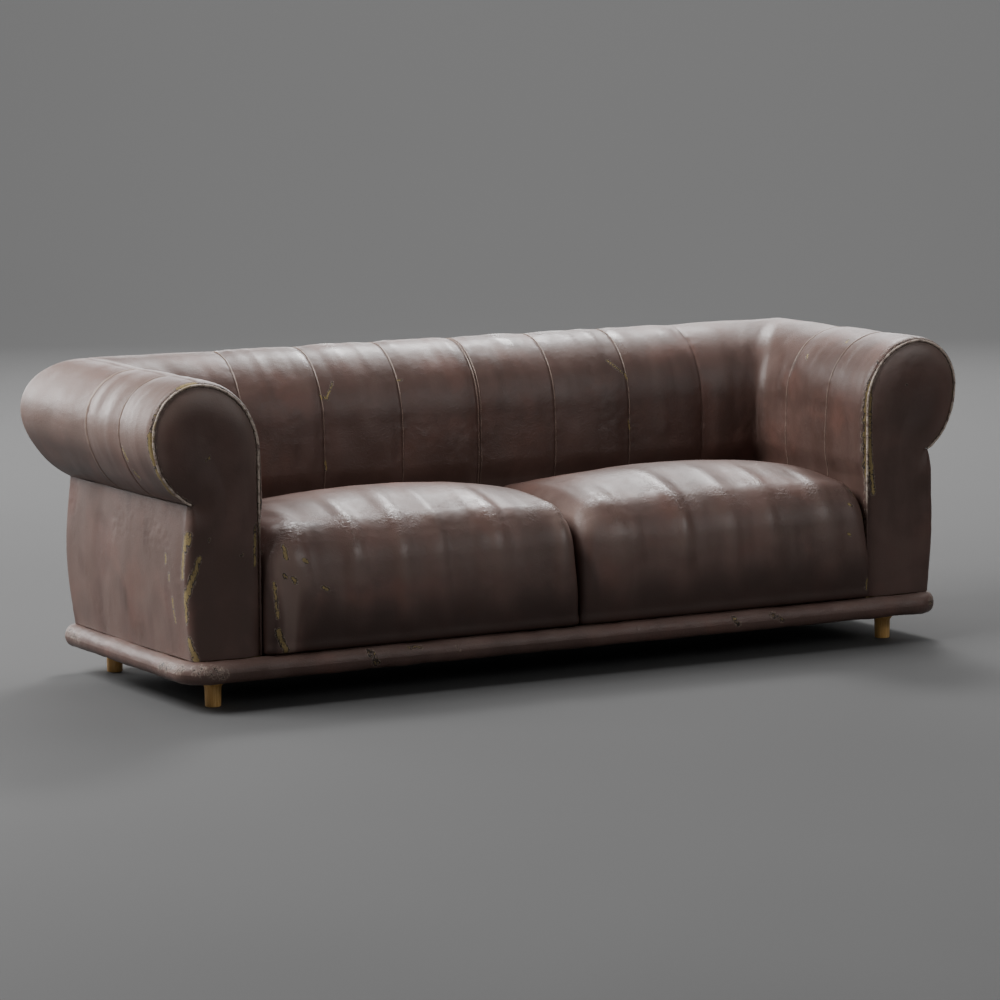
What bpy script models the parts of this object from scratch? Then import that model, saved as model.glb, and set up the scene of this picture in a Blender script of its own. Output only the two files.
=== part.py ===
"""A worn leather sofa: rolled arms, a fluted back, two deep block cushions, a stuffed roll round the
base and four short turned legs, with the timber frame, webbing and foam that carry them.

Metres, +Z up. The seat faces -Y, X runs along the sofa, and the origin is on the floor under its middle.
The arms and the back share one section. It is drawn as (s, z): s runs outwards from the face that a
sitter leans on, so s is along X in an arm and along Y in the back, and the two meet in a mitre.
"""

from math import asin, cos, pi, radians, sin

import bmesh
import bpy
from mathutils import Matrix, Vector

# Driving dimensions.
FRONT_Y = -0.3875
ARM_INNER_X = 0.892  # the face of an arm towards the seat
BACK_INNER_Y = FRONT_Y + 0.517  # the face of the back towards the seat
CREST_Z = 0.808  # the top of the roll
SHOULDER = Vector((0.165, 0.630))  # where the inner face starts to curve, below the crest
ROLL_AXIS = Vector((0.165, 0.680))  # the middle of the roll's outer quarter
ROLL_REACH = 0.288  # how far the roll stands out from the inner face
UNDER_AXIS = Vector((0.138, 0.680))  # the middle of the roll's underside
UNDER_DEPTH = 0.185
SEAT_Z = 0.475  # the leather lies flat against the cushions up to here
NOTCH_Z = 0.512  # where the roll's underside meets the outside panel
OUTSIDE_FOOT = 0.188  # the outside panel's s at its foot
OUTSIDE_BULGE = 0.019
LEATHER = 0.0025
GAP = 0.0003  # between pieces that rest on each other

# Flutes. The leather is held to the section at a facing and at its foot. Elsewhere it stands PUFF
# proud of it, and a seam draws it back in.
BACK_SEAMS = (0.0, 0.231, 0.462, 0.694)
ARM_SEAMS = (0.185, 0.380)  # back from the front of the facing
PUFF = 0.010
SEAM_FULL = 0.6  # how far out the leather stands at a seam, as a share of PUFF
MITRE_FULL = 1.05
FLUTE_STEPS = ((0.12, 0.75), (0.5, 1.0), (0.88, 0.75))  # (share of the flute, fullness)

# Base.
FRAME_Z = (0.066, 0.120)
FRAME_OUTER_X = 1.0610
FRAME_Y = (FRONT_Y + 0.0188, FRONT_Y + 0.6862)
RAIL_THICK = 0.030
BASE_ROLL_RADIUS = 0.029
BASE_ROLL_Z = 0.0985
BASE_ROLL_OUT = 0.011  # how far its centre line stands outside the arms and the back
BASE_ROLL_CORNER = 0.062
COVER_FOOT_Z = 0.1232
OUTSIDE_FOOT_Z = 0.1279
FACING_FOOT_Z = 0.1285
DECK_Z = (0.1277, 0.1294)

# Seat.
CUSHION_FRONT_Y = FRONT_Y - 0.030
CUSHION_Z = (0.1298, 0.432)
CUSHION_CROWN = 0.060
CUSHION_PEAK = 0.04  # how far the crown's peak stands towards the sofa's middle, as a share of half its width
CUSHION_EDGE = (0.016, 0.060)  # the radius of its upright edges, at their foot and at their top
CUSHION_TOP_EDGE = 0.095
CUSHION_TUCK = 0.014  # how far the foot of its front is drawn back
CUSHION_LEAN = 0.030  # how far the top of its front leans back
CUSHION_BELLY = 0.30  # the share of its height at which its front stands furthest out
CORE_INSET = LEATHER + 0.0016

# Arm fronts.
PIPING_RADIUS = 0.004
PIPING_INSET = 0.0045
FACING_INSET = 0.0092
FACING_Y = (FRONT_Y + 0.0012, FRONT_Y + 0.0112)
COVER_START_Y = FRONT_Y + 2 * PIPING_RADIUS + 0.0010

# Timber inside the arms and the back, in s and z.
POST_S = (0.089, 0.149)
TOP_RAIL_Z = (0.5213, 0.6200)
FOAM_BACK_S = 0.0550

# Legs.
LEG_X = 0.995
LEG_Y = (FRONT_Y + 0.076, FRONT_Y + 0.668)
LEG_TOP_Z = 0.0624
PLATE_Z = (0.0627, 0.0657)
BOLT_RADIUS = 0.004
BOLT_HOLE_RADIUS = 0.0046


# Scene, materials and small helpers.


def clear_scene():
    for old in list(bpy.data.objects):
        bpy.data.objects.remove(old)


def collection(name):
    made = bpy.data.collections.new(name)
    bpy.context.scene.collection.children.link(made)
    return made


def finish(name, colour, roughness, metallic=0.0):
    made = bpy.data.materials.new(name)
    made.use_nodes = True
    shader = made.node_tree.nodes["Principled BSDF"]
    shader.inputs["Base Color"].default_value = (*colour, 1.0)
    shader.inputs["Roughness"].default_value = roughness
    shader.inputs["Metallic"].default_value = metallic
    made.diffuse_color = (*colour, 1.0)
    return made


def add(name, mesh, material):
    made = bpy.data.objects.new(name, mesh)
    SOFA.objects.link(made)
    mesh.materials.clear()
    mesh.materials.append(material)
    return made


def mesh_of(bm, name):
    mesh = bpy.data.meshes.new(name)
    bm.to_mesh(mesh)
    bm.free()
    return mesh


def evaluated_mesh(source):
    bpy.context.view_layer.update()
    graph = bpy.context.evaluated_depsgraph_get()
    return bpy.data.meshes.new_from_object(source.evaluated_get(graph))


def bevel(target, width, segments=1):
    made = target.modifiers.new("rounded edges", "BEVEL")
    made.width = width
    made.segments = segments
    made.limit_method = "ANGLE"
    made.angle_limit = radians(40)


def thicken(target, thickness):
    made = target.modifiers.new("thickness", "SOLIDIFY")
    made.thickness = thickness
    made.offset = -1.0
    made.use_even_offset = True
    made.thickness_clamp = 0.0


def cut(target, cutter):
    made = target.modifiers.new(cutter.name, "BOOLEAN")
    made.operation = "DIFFERENCE"
    made.object = cutter


def box(name, low, high, material, edge=0.0):
    """A block between two corners, with its edges broken if edge is given."""
    low, high = Vector(low), Vector(high)
    bm = bmesh.new()
    bmesh.ops.create_cube(bm, size=1.0, matrix=Matrix.Diagonal((*(high - low), 1.0)))
    made = add(name, mesh_of(bm, name), material)
    made.location = (low + high) / 2
    if edge:
        bevel(made, edge)
    return made


def flat_solid(name, outline, thickness, material):
    """A flat outline in the object's own XY plane, thick along its Z, as one closed mesh."""
    curve = bpy.data.curves.new(name, "CURVE")
    curve.dimensions = "2D"
    curve.fill_mode = "BOTH"
    curve.extrude = thickness / 2
    spline = curve.splines.new("POLY")
    spline.points.add(len(outline) - 1)
    spline.use_cyclic_u = True
    for point, (x, y) in zip(spline.points, outline):
        point.co = (x, y, 0.0, 1.0)
    drawn = bpy.data.objects.new(name + "_outline", curve)
    SOFA.objects.link(drawn)
    mesh = evaluated_mesh(drawn)
    bpy.data.objects.remove(drawn)
    bm = bmesh.new()
    bm.from_mesh(mesh)
    bmesh.ops.remove_doubles(bm, verts=bm.verts, dist=1e-5)
    bmesh.ops.recalc_face_normals(bm, faces=bm.faces)
    bm.to_mesh(mesh)
    bm.free()
    return add(name, mesh, material)


def tube(name, path, radius, material, cyclic=False, resolution=2):
    curve = bpy.data.curves.new(name, "CURVE")
    curve.dimensions = "3D"
    curve.bevel_depth = radius
    curve.bevel_resolution = resolution
    curve.use_fill_caps = not cyclic
    spline = curve.splines.new("POLY")
    spline.points.add(len(path) - 1)
    spline.use_cyclic_u = cyclic
    for point, place in zip(spline.points, path):
        point.co = (*place, 1.0)
    made = bpy.data.objects.new(name, curve)
    curve.materials.append(material)
    SOFA.objects.link(made)
    return made


def turned(name, profile, steps, material):
    """A closed (radius, z) loop turned round Z: a piece with a bore up its middle."""
    bm = bmesh.new()
    points = [bm.verts.new((radius, 0.0, z)) for radius, z in profile]
    for first, second in zip(points, points[1:] + points[:1]):
        bm.edges.new((first, second))
    made = add(name, mesh_of(bm, name), material)
    screw = made.modifiers.new("turned", "SCREW")
    screw.steps = steps
    screw.render_steps = steps
    screw.use_merge_vertices = True
    screw.merge_threshold = 0.0001
    return made


def grid_sheet(name, columns, rows, place, material, flip=False):
    """A grid whose corner (column, row) lies at place(column, row)."""
    bm = bmesh.new()
    bmesh.ops.create_grid(bm, x_segments=columns, y_segments=rows, size=0.5)
    for vertex in bm.verts:
        column = round((vertex.co.x + 0.5) * columns)
        row = round((vertex.co.y + 0.5) * rows)
        vertex.co = place(column, row)
    if flip:
        bmesh.ops.reverse_faces(bm, faces=bm.faces)
    made = add(name, mesh_of(bm, name), material)
    made.data.shade_smooth()
    return made


def mirror_copy(source, name):
    """The left-hand piece of a right-hand one."""
    mesh = evaluated_mesh(source)
    mesh.transform(Matrix.Scale(-1.0, 4, (1.0, 0.0, 0.0)) @ source.matrix_world)
    mesh.flip_normals()
    return add(name, mesh, source.active_material)


def both_sides(stem, right):
    """Names the right-hand piece and makes the left-hand one."""
    right.name = stem + "_right"
    return right, mirror_copy(right, stem + "_left")


# The section of the arms and the back.


def quarter(centre, reach, rise, start, end, steps):
    """Points along an ellipse, its first one left out."""
    turn = [start + (end - start) * k / steps for k in range(1, steps + 1)]
    return [Vector((centre.x + reach * cos(a), centre.y + rise * sin(a))) for a in turn]


def roll_outline(inset, foot_z, steps=(5, 5, 4)):
    """(s, z) up the inner face, over the roll and under it to the notch, moved in by inset."""
    crest = CREST_Z - inset
    under_rise = UNDER_DEPTH - inset
    under_turn = asin((UNDER_AXIS.y - NOTCH_Z) / under_rise)
    points = [Vector((inset, foot_z)), Vector((inset, SEAT_Z)), Vector((inset, SHOULDER.y))]
    points += quarter(SHOULDER, SHOULDER.x - inset, crest - SHOULDER.y, pi, pi / 2, steps[0])
    points += quarter(ROLL_AXIS, ROLL_REACH - ROLL_AXIS.x - inset, crest - ROLL_AXIS.y, pi / 2, 0, steps[1])
    points += quarter(
        UNDER_AXIS, ROLL_REACH - UNDER_AXIS.x - inset, under_rise, 0, -under_turn, steps[2]
    )
    return points


def outside_line(foot_z, steps):
    """(s, z) down the outside panel from the notch, which swells a little between its ends."""
    notch_s = roll_outline(0.0, foot_z)[-1].x
    points = []
    for step in range(steps + 1):
        share = step / steps
        s = notch_s + (OUTSIDE_FOOT - notch_s) * share + OUTSIDE_BULGE * sin(pi * share)
        points.append(Vector((s, NOTCH_Z + (foot_z - NOTCH_Z) * share)))
    return points


def outward_normals(points):
    """A unit vector at each point of a line, turned towards the outside of the section."""
    normals = []
    for k in range(len(points)):
        along = points[min(k + 1, len(points) - 1)] - points[max(k - 1, 0)]
        normals.append(Vector((-along.y, along.x)).normalized())
    return normals


def puff_at(point):
    """How freely the leather puffs at a point of the section: not at its foot nor at the notch."""
    if point.x < SHOULDER.x:
        return 0.85 * max(0.0, min(1.0, (point.y - SEAT_Z) / 0.24))
    if point.y > ROLL_AXIS.y:
        return 0.60 + 0.45 * (min(1.0, (point.x - SHOULDER.x) / 0.12)) ** 3
    return max(0.0, (point.y - 0.59) / (ROLL_AXIS.y - 0.59))


def flute_stations(marks, first_full, last_full):
    """(place, fullness) along a run of flutes, whose seams and ends are at marks."""
    stations = [(marks[0], first_full)]
    for start, end in zip(marks, marks[1:]):
        stations += [(start + (end - start) * share, full) for share, full in FLUTE_STEPS]
        stations.append((end, last_full if end == marks[-1] else SEAM_FULL))
    return stations


def mitre_cutter(name, towards):
    """A block whose face lies on the right-hand mitre. towards is the side that it takes away."""
    size = 0.8
    away = Vector(towards).normalized()
    on_mitre = Vector((ARM_INNER_X + ROLL_REACH / 2, BACK_INNER_Y + ROLL_REACH / 2, 0.45))
    bm = bmesh.new()
    bmesh.ops.create_cube(bm, size=size)
    made = bpy.data.objects.new(name, mesh_of(bm, name))
    CUTTERS.objects.link(made)
    made.rotation_euler = (0.0, 0.0, pi / 4)
    made.location = on_mitre + away * (size / 2 - GAP)
    made.hide_render = True
    made.display_type = "WIRE"
    return made


def mirrored_cutter(source, name):
    made = bpy.data.objects.new(name, source.data)
    CUTTERS.objects.link(made)
    made.rotation_euler = source.rotation_euler
    made.location = (-source.location.x, source.location.y, source.location.z)
    made.hide_render = True
    made.display_type = "WIRE"
    return made


def in_arm(s, y, z):
    return Vector((ARM_INNER_X + s, y, z))


def in_back(s, x, z):
    return Vector((x, BACK_INNER_Y + s, z))


ARM_TURN = (pi / 2, 0.0, 0.0)  # stands a flat solid's outline up across an arm
BACK_TURN = (pi / 2, 0.0, pi / 2)  # and across the back
PAST_MITRE = 0.02


# Leather and foam of the arms and the back.


def fluted_cover(name, stations, past_mitre, to_world, flip):
    """Leather over one run. Its last flute or two run on past the mitre."""
    outline = roll_outline(0.0, COVER_FOOT_Z)
    normals = outward_normals(outline)

    def place(column, row):
        run, fullness = stations[column]
        s, z = outline[row] + normals[row] * PUFF * fullness * puff_at(outline[row])
        return to_world(s, past_mitre(run, outline[row].x), z)

    made = grid_sheet(name, len(stations) - 1, len(outline) - 1, place, WORN_LEATHER, flip)
    thicken(made, LEATHER)
    return made


def arm_cover():
    last_seam = FRONT_Y + ARM_SEAMS[-1]
    corner = BACK_INNER_Y

    def past_mitre(y, s):
        """Stretches the last flute so that it ends past the mitre at every s."""
        if y <= last_seam:
            return y
        return last_seam + (y - last_seam) * (corner + s + PAST_MITRE - last_seam) / (corner - last_seam)

    marks = [COVER_START_Y, *(FRONT_Y + seam for seam in ARM_SEAMS), corner]
    stations = flute_stations(marks, 0.0, MITRE_FULL)
    made = fluted_cover("arm_cover", stations, past_mitre, in_arm, True)
    cut(made, MITRE_OF_ARM)
    return made


def back_cover():
    last_seam = BACK_SEAMS[-1]

    def past_mitre(x, s):
        if abs(x) <= last_seam:
            return x
        reach = last_seam + (abs(x) - last_seam) * (ARM_INNER_X + s + PAST_MITRE - last_seam) / (
            ARM_INNER_X - last_seam
        )
        return reach if x > 0 else -reach

    right = [*BACK_SEAMS, ARM_INNER_X]
    marks = [-x for x in reversed(right[1:])] + right
    stations = flute_stations(marks, MITRE_FULL, MITRE_FULL)
    made = fluted_cover("back_cover", stations, past_mitre, in_back, False)
    cut(made, MITRE_OF_BACK_RIGHT)
    cut(made, MITRE_OF_BACK_LEFT)
    return made


def foam_outline():
    """The foam's section: inside the leather, down to the timber, with a rebate for the top rail."""
    inset = LEATHER + 0.0012
    outer = roll_outline(inset, COVER_FOOT_Z)
    post = (POST_S[0] - GAP, POST_S[1] + GAP)
    rebate_z = TOP_RAIL_Z[1] + GAP
    inner = [(post[1], NOTCH_Z), (post[1], rebate_z), (post[0], rebate_z), (post[0], NOTCH_Z)]
    inner += [(FOAM_BACK_S, NOTCH_Z), (FOAM_BACK_S, COVER_FOOT_Z)]
    return [*outer, *(Vector(point) for point in inner)]


def arm_foam():
    start = FACING_Y[1] + GAP
    end = BACK_INNER_Y + ROLL_REACH + PAST_MITRE
    made = flat_solid("arm_foam", foam_outline(), end - start, FOAM)
    made.rotation_euler = ARM_TURN
    made.location = (ARM_INNER_X, (start + end) / 2, 0.0)
    cut(made, MITRE_OF_ARM)
    return made


def back_foam():
    reach = ARM_INNER_X + ROLL_REACH + PAST_MITRE
    made = flat_solid("back_foam", foam_outline(), 2 * reach, FOAM)
    made.rotation_euler = BACK_TURN
    made.location = (0.0, BACK_INNER_Y, 0.0)
    cut(made, MITRE_OF_BACK_RIGHT)
    cut(made, MITRE_OF_BACK_LEFT)
    return made


def outside_panel(name, ends, columns, to_world, flip):
    """Leather on board, below the roll. ends are its two ends along the run."""
    line = outside_line(OUTSIDE_FOOT_Z, 6)
    line[0].y -= 0.0015

    def place(column, row):
        run = ends[0] + (ends[1] - ends[0]) * column / columns
        return to_world(line[row].x, run, line[row].y)

    made = grid_sheet(name, columns, len(line) - 1, place, WORN_LEATHER, flip)
    thicken(made, 0.006)
    return made


def outside_arm_panel():
    past = BACK_INNER_Y + ROLL_REACH + PAST_MITRE
    made = outside_panel("outside_arm_panel", (COVER_START_Y, past), 4, in_arm, True)
    cut(made, MITRE_OF_ARM)
    return made


def outside_back_panel():
    past = ARM_INNER_X + ROLL_REACH + PAST_MITRE
    made = outside_panel("outside_back_panel", (-past, past), 6, in_back, False)
    cut(made, MITRE_OF_BACK_RIGHT)
    cut(made, MITRE_OF_BACK_LEFT)
    return made


# Arm fronts.


def keyhole_outline(inset, foot_z):
    """The facing's outline: up the inner side, over the roll, in at the notch and down the outside."""
    roll = roll_outline(inset, foot_z, (8, 8, 6))
    outside = outside_line(foot_z, 6)[1:]
    return roll + [Vector((point.x - inset, point.y)) for point in outside]


def arm_facing():
    made = flat_solid(
        "arm_facing", keyhole_outline(FACING_INSET, FACING_FOOT_Z), FACING_Y[1] - FACING_Y[0], WORN_LEATHER
    )
    made.rotation_euler = ARM_TURN
    made.location = (ARM_INNER_X, sum(FACING_Y) / 2, 0.0)
    bevel(made, 0.0025)
    return made


def arm_piping():
    y = FRONT_Y + PIPING_RADIUS + 0.0006
    line = keyhole_outline(PIPING_INSET, FACING_FOOT_Z)
    line.insert(1, (line[0] + line[1]) / 2)
    return tube("arm_piping", [in_arm(s, y, z) for s, z in line], PIPING_RADIUS, PIPING_LEATHER)


# Base.


def base_roll():
    half_x = ARM_INNER_X + OUTSIDE_FOOT + BASE_ROLL_OUT
    low_y = FRONT_Y - BASE_ROLL_OUT
    high_y = BACK_INNER_Y + OUTSIDE_FOOT + BASE_ROLL_OUT
    radius = BASE_ROLL_CORNER
    corners = (
        (half_x - radius, high_y - radius, 0.0),
        (-half_x + radius, high_y - radius, pi / 2),
        (-half_x + radius, low_y + radius, pi),
        (half_x - radius, low_y + radius, 3 * pi / 2),
    )
    path = []
    for x, y, start in corners:
        for step in range(6):
            turn = start + pi / 2 * step / 5
            path.append((x + radius * cos(turn), y + radius * sin(turn), BASE_ROLL_Z))
    return tube("base_roll", path, BASE_ROLL_RADIUS, WORN_LEATHER, cyclic=True, resolution=4)


def base_frame():
    low_z, high_z = FRAME_Z
    low_y, high_y = FRAME_Y
    inner_y = (low_y + RAIL_THICK + GAP, high_y - RAIL_THICK - GAP)
    inner_x = FRAME_OUTER_X - RAIL_THICK
    side = box("base_side_rail", (inner_x, inner_y[0], low_z), (FRAME_OUTER_X, inner_y[1], high_z), TIMBER)
    both_sides("base_side_rail", side)
    ends = (("base_front_rail", low_y, RAIL_THICK), ("base_back_rail", high_y, -RAIL_THICK))
    for name, outer_y, thick in ends:
        corner = thick * 0.99  # cut off, so that the base roll can turn the corner close to the frame
        outline = [
            (-FRAME_OUTER_X, outer_y + thick),
            (-FRAME_OUTER_X, outer_y + corner),
            (-FRAME_OUTER_X + abs(corner), outer_y),
            (FRAME_OUTER_X - abs(corner), outer_y),
            (FRAME_OUTER_X, outer_y + corner),
            (FRAME_OUTER_X, outer_y + thick),
        ]
        rail = flat_solid(name, outline, high_z - low_z, TIMBER)
        rail.location.z = (low_z + high_z) / 2
        if outer_y == high_y:
            for side in (-1, 1):
                cut(rail, bolt_hole(f"{name}_hole_{side}", (side * LEG_X, LEG_Y[1], low_z), 0.03))
    box("base_middle_rail", (-0.02, inner_y[0], low_z), (0.02, inner_y[1], high_z - 0.012), TIMBER)
    corner_blocks(inner_x - GAP, inner_y)


def corner_blocks(inner_x, inner_y):
    """Triangular blocks in the frame's corners. The front legs are bolted up into theirs."""
    side = 0.17
    height = FRAME_Z[1] - FRAME_Z[0]
    for name, y, towards in (("corner_block_front", inner_y[0], 1), ("corner_block_back", inner_y[1], -1)):
        outline = [(inner_x, y), (inner_x - side, y), (inner_x, y + side * towards)]
        block = flat_solid(name, outline[:: -towards], height, TIMBER)
        block.location.z = FRAME_Z[0] + height / 2
        if towards > 0:
            cut(block, bolt_hole(name + "_hole", (LEG_X, LEG_Y[0], FRAME_Z[0]), 0.03))
        both_sides(name, block)


def bolt_hole(name, mouth, depth):
    bm = bmesh.new()
    bmesh.ops.create_cone(
        bm, cap_ends=True, segments=12, radius1=BOLT_HOLE_RADIUS, radius2=BOLT_HOLE_RADIUS, depth=2 * depth
    )
    made = bpy.data.objects.new(name, mesh_of(bm, name))
    CUTTERS.objects.link(made)
    made.location = mouth
    made.hide_render = True
    made.display_type = "WIRE"
    return made


def arm_timber():
    """A front post and a top rail in each arm, and a post in each back corner."""
    start = FACING_Y[1] + GAP
    low_s, high_s = POST_S
    post_top = TOP_RAIL_Z[0] - GAP
    foot = FRAME_Z[1] + GAP
    front = box(
        "arm_front_post",
        in_arm(low_s, FRAME_Y[0], foot),
        in_arm(high_s, FRAME_Y[0] + RAIL_THICK, post_top),
        TIMBER,
        0.002,
    )
    rail = box(
        "arm_top_rail",
        in_arm(low_s, start, TOP_RAIL_Z[0]),
        in_arm(high_s, BACK_INNER_Y + low_s - GAP, TOP_RAIL_Z[1]),
        TIMBER,
    )
    corner = box(
        "back_corner_post",
        (ARM_INNER_X + low_s, BACK_INNER_Y + low_s, foot),
        (ARM_INNER_X + high_s, BACK_INNER_Y + high_s, post_top),
        TIMBER,
        0.002,
    )
    for stem, piece in (("arm_front_post", front), ("arm_top_rail", rail), ("back_corner_post", corner)):
        both_sides(stem, piece)


def back_timber():
    low_s, high_s = POST_S
    half = ARM_INNER_X + high_s
    box("back_top_rail", in_back(low_s, -half, TOP_RAIL_Z[0]), in_back(high_s, half, TOP_RAIL_Z[1]), TIMBER)
    foot, top = FRAME_Z[1] + GAP, TOP_RAIL_Z[0] - GAP
    for name, x in (("back_upright_left", -0.36), ("back_upright_right", 0.36)):
        box(name, in_back(low_s, x - 0.025, foot), in_back(high_s, x + 0.025, top), TIMBER, 0.002)


# Webbing, deck and dust cover.

STRAP_THICK = 0.002
STRAP_HALF_WIDTH = 0.030
STRAP_REST_Z = FRAME_Z[1] + GAP + STRAP_THICK  # the top of a strap that lies on a rail
STRAP_LIFT = STRAP_THICK + 0.0005
SEAT_STRAPS_X = (-0.75, -0.45, -0.15, 0.15, 0.45, 0.75)
LONG_STRAPS_Y = (FRONT_Y + 0.20, FRONT_Y + 0.38)


def strap(name, line, across):
    """A flat strap whose top follows line, and whose width runs along across."""

    def place(column, row):
        return line[column] + across * STRAP_HALF_WIDTH * (2 * row - 1)

    made = grid_sheet(name, len(line) - 1, 1, place, WEBBING, flip=across.x > 0)
    thicken(made, STRAP_THICK)
    return made


def webbing():
    """Straps front to back over the rails, and two long ones woven over and under them."""
    middle = STRAP_REST_Z + STRAP_LIFT
    low_y, high_y = FRAME_Y
    for number, x in enumerate(SEAT_STRAPS_X, 1):
        line = [
            Vector((x, low_y + 0.002, STRAP_REST_Z)),
            Vector((x, low_y + RAIL_THICK, STRAP_REST_Z)),
            Vector((x, low_y + RAIL_THICK + 0.06, middle)),
            Vector((x, BACK_INNER_Y - 0.09, middle)),
            Vector((x, BACK_INNER_Y - 0.03, STRAP_REST_Z)),
            Vector((x, high_y - 0.002, STRAP_REST_Z)),
        ]
        strap(f"seat_strap_{number}", line, Vector((1.0, 0.0, 0.0)))
    for number, y in enumerate(LONG_STRAPS_Y, 1):
        end = FRAME_OUTER_X - 0.002
        inside = ARM_INNER_X - 0.03  # it is down to the rails' height before it runs in under an arm
        line = [Vector((-end, y, STRAP_REST_Z)), Vector((-inside, y, STRAP_REST_Z))]
        for crossing, x in enumerate(SEAT_STRAPS_X):
            over = (crossing + number) % 2
            z = middle + STRAP_LIFT if over else middle - STRAP_LIFT
            flat = STRAP_HALF_WIDTH + 0.010
            line += [Vector((x - flat, y, z)), Vector((x + flat, y, z))]
        line += [Vector((inside, y, STRAP_REST_Z)), Vector((end, y, STRAP_REST_Z))]
        strap(f"long_strap_{number}", line, Vector((0.0, 1.0, 0.0)))


def cloths():
    """The deck cloth under the cushions, and the dust cover with its corners cut off at the legs."""
    box(
        "deck_cloth",
        (-ARM_INNER_X + 0.001, FRAME_Y[0], DECK_Z[0]),
        (ARM_INNER_X - 0.001, BACK_INNER_Y - 0.001, DECK_Z[1]),
        CLOTH,
    )
    half_x = FRAME_OUTER_X - 0.008
    low_y, high_y = FRAME_Y[0] + 0.008, FRAME_Y[1] - 0.008
    off = 0.165
    right = [(half_x - off, low_y), (half_x, low_y + off), (half_x, high_y - off), (half_x - off, high_y)]
    outline = right + [(-x, y) for x, y in reversed(right)]
    thick = 0.0015
    cover = flat_solid("dust_cover", outline, thick, CLOTH)
    cover.location.z = FRAME_Z[0] - GAP - thick / 2


# Seat cushions.


def cushion_form(name, inset, material, open_below):
    """The right-hand seat block. inset makes it smaller all round."""
    low = Vector((0.0012, CUSHION_FRONT_Y, CUSHION_Z[0])) + Vector((inset,) * 3)
    high = Vector((ARM_INNER_X - 0.0012, BACK_INNER_Y - 0.0012, CUSHION_Z[1])) - Vector((inset,) * 3)
    centre, half = (low + high) / 2, (high - low) / 2
    bm = bmesh.new()
    bmesh.ops.create_cube(bm, size=8.0)
    bmesh.ops.subdivide_edges(bm, edges=bm.edges[:], cuts=7, use_grid_fill=True)
    if open_below:
        below = [f for f in bm.faces if f.calc_center_median().z < -3.99]
        middle = [f for f in below if max(map(abs, f.calc_center_median()[:2])) < 2]
        bmesh.ops.delete(bm, geom=middle, context="FACES")
    for vertex in bm.verts:
        vertex.co = centre + on_cushion([round(value) for value in vertex.co], half, inset)
    made = add(name, mesh_of(bm, name), material)
    made.data.shade_smooth()
    return made


def on_cushion(grid, half, inset):
    """A point of a grid from -4 to 4 on each axis, put on a block with round edges and a crown."""
    height = (grid[2] + 4) / 8
    around = CUSHION_EDGE[0] + (CUSHION_EDGE[1] - CUSHION_EDGE[0]) * height
    ends = CUSHION_TOP_EDGE if grid[2] > 0 else CUSHION_EDGE[0]
    radii = Vector((around, around, ends)) - Vector((inset,) * 3)
    point, out = Vector(), Vector()
    for axis, step in enumerate(grid):
        radius, size = radii[axis], half[axis]
        flat = 1 - radius / size
        place = (0.0, 0.5 * flat, flat, 1 - 0.42 * radius / size, 1.0)[abs(step)]
        side = 1 if step > 0 else -1
        point[axis] = side * min(place, flat) * size
        out[axis] = side * max(0.0, place - flat) * size / radius
    if out.length > 0:
        out.normalize()
    point += Vector(o * r for o, r in zip(out, radii))
    u, v, w = (p / h for p, h in zip(point, half))
    rise = (1 + w) / 2
    across = u + CUSHION_PEAK * (1 - u * u)
    point.z += CUSHION_CROWN * max(0.0, 1 - across * across) ** 0.62 * max(0.0, 1 - v * v) ** 1.5 * rise
    below = max(0.0, 1 - rise / CUSHION_BELLY)
    above = max(0.0, rise - CUSHION_BELLY) / (1 - CUSHION_BELLY)
    point.y += (CUSHION_TUCK * below**2 + CUSHION_LEAN * above**1.5) * max(0.0, -v)
    return point


def cushion():
    cover = cushion_form("seat_cushion_cover", 0.0, WORN_LEATHER, True)
    thicken(cover, LEATHER)
    core = cushion_form("seat_cushion_core", CORE_INSET, FOAM, False)
    under_inset = CUSHION_EDGE[0] + 0.002
    low_z = CUSHION_Z[0]
    under = box(
        "seat_cushion_underside",
        (under_inset, CUSHION_FRONT_Y + CUSHION_TUCK + under_inset, low_z),
        (ARM_INNER_X - under_inset, BACK_INNER_Y - under_inset, low_z + 0.0015),
        CLOTH,
    )
    for stem, piece in (
        ("seat_cushion_cover", cover),
        ("seat_cushion_core", core),
        ("seat_cushion_underside", under),
    ):
        both_sides(stem, piece)


# Legs.

LEG_PROFILE = (
    (0.0190, 0.0000),
    (0.0198, 0.0010),
    (0.0210, 0.0440),
    (0.0225, 0.0520),
    (0.0262, 0.0560),
    (0.0262, 0.0614),
    (0.0252, LEG_TOP_Z),
)
LEG_BORE_Z = 0.030


def legs():
    """Turned legs with a flared collar, each under a steel plate and drawn up by a bolt."""
    bore = [(BOLT_HOLE_RADIUS, LEG_TOP_Z), (BOLT_HOLE_RADIUS, LEG_BORE_Z), (0.0, LEG_BORE_Z), (0.0, 0.0)]
    for where, y in zip(("front", "back"), LEG_Y):
        leg = turned(f"leg_{where}", [*LEG_PROFILE, *bore][::-1], 20, OILED_WOOD)
        leg.location = (LEG_X, y, 0.0)
        plate = box(
            f"leg_plate_{where}",
            (LEG_X - 0.025, y - 0.025, PLATE_Z[0]),
            (LEG_X + 0.025, y + 0.025, PLATE_Z[1]),
            STEEL,
        )
        cut(plate, bolt_hole(f"leg_plate_{where}_hole", (LEG_X, y, PLATE_Z[0]), 0.02))
        bolt = leg_bolt(f"leg_bolt_{where}", y)
        both_sides(f"leg_{where}", leg)
        both_sides(f"leg_plate_{where}", plate)
        both_sides(f"leg_bolt_{where}", bolt)


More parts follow.
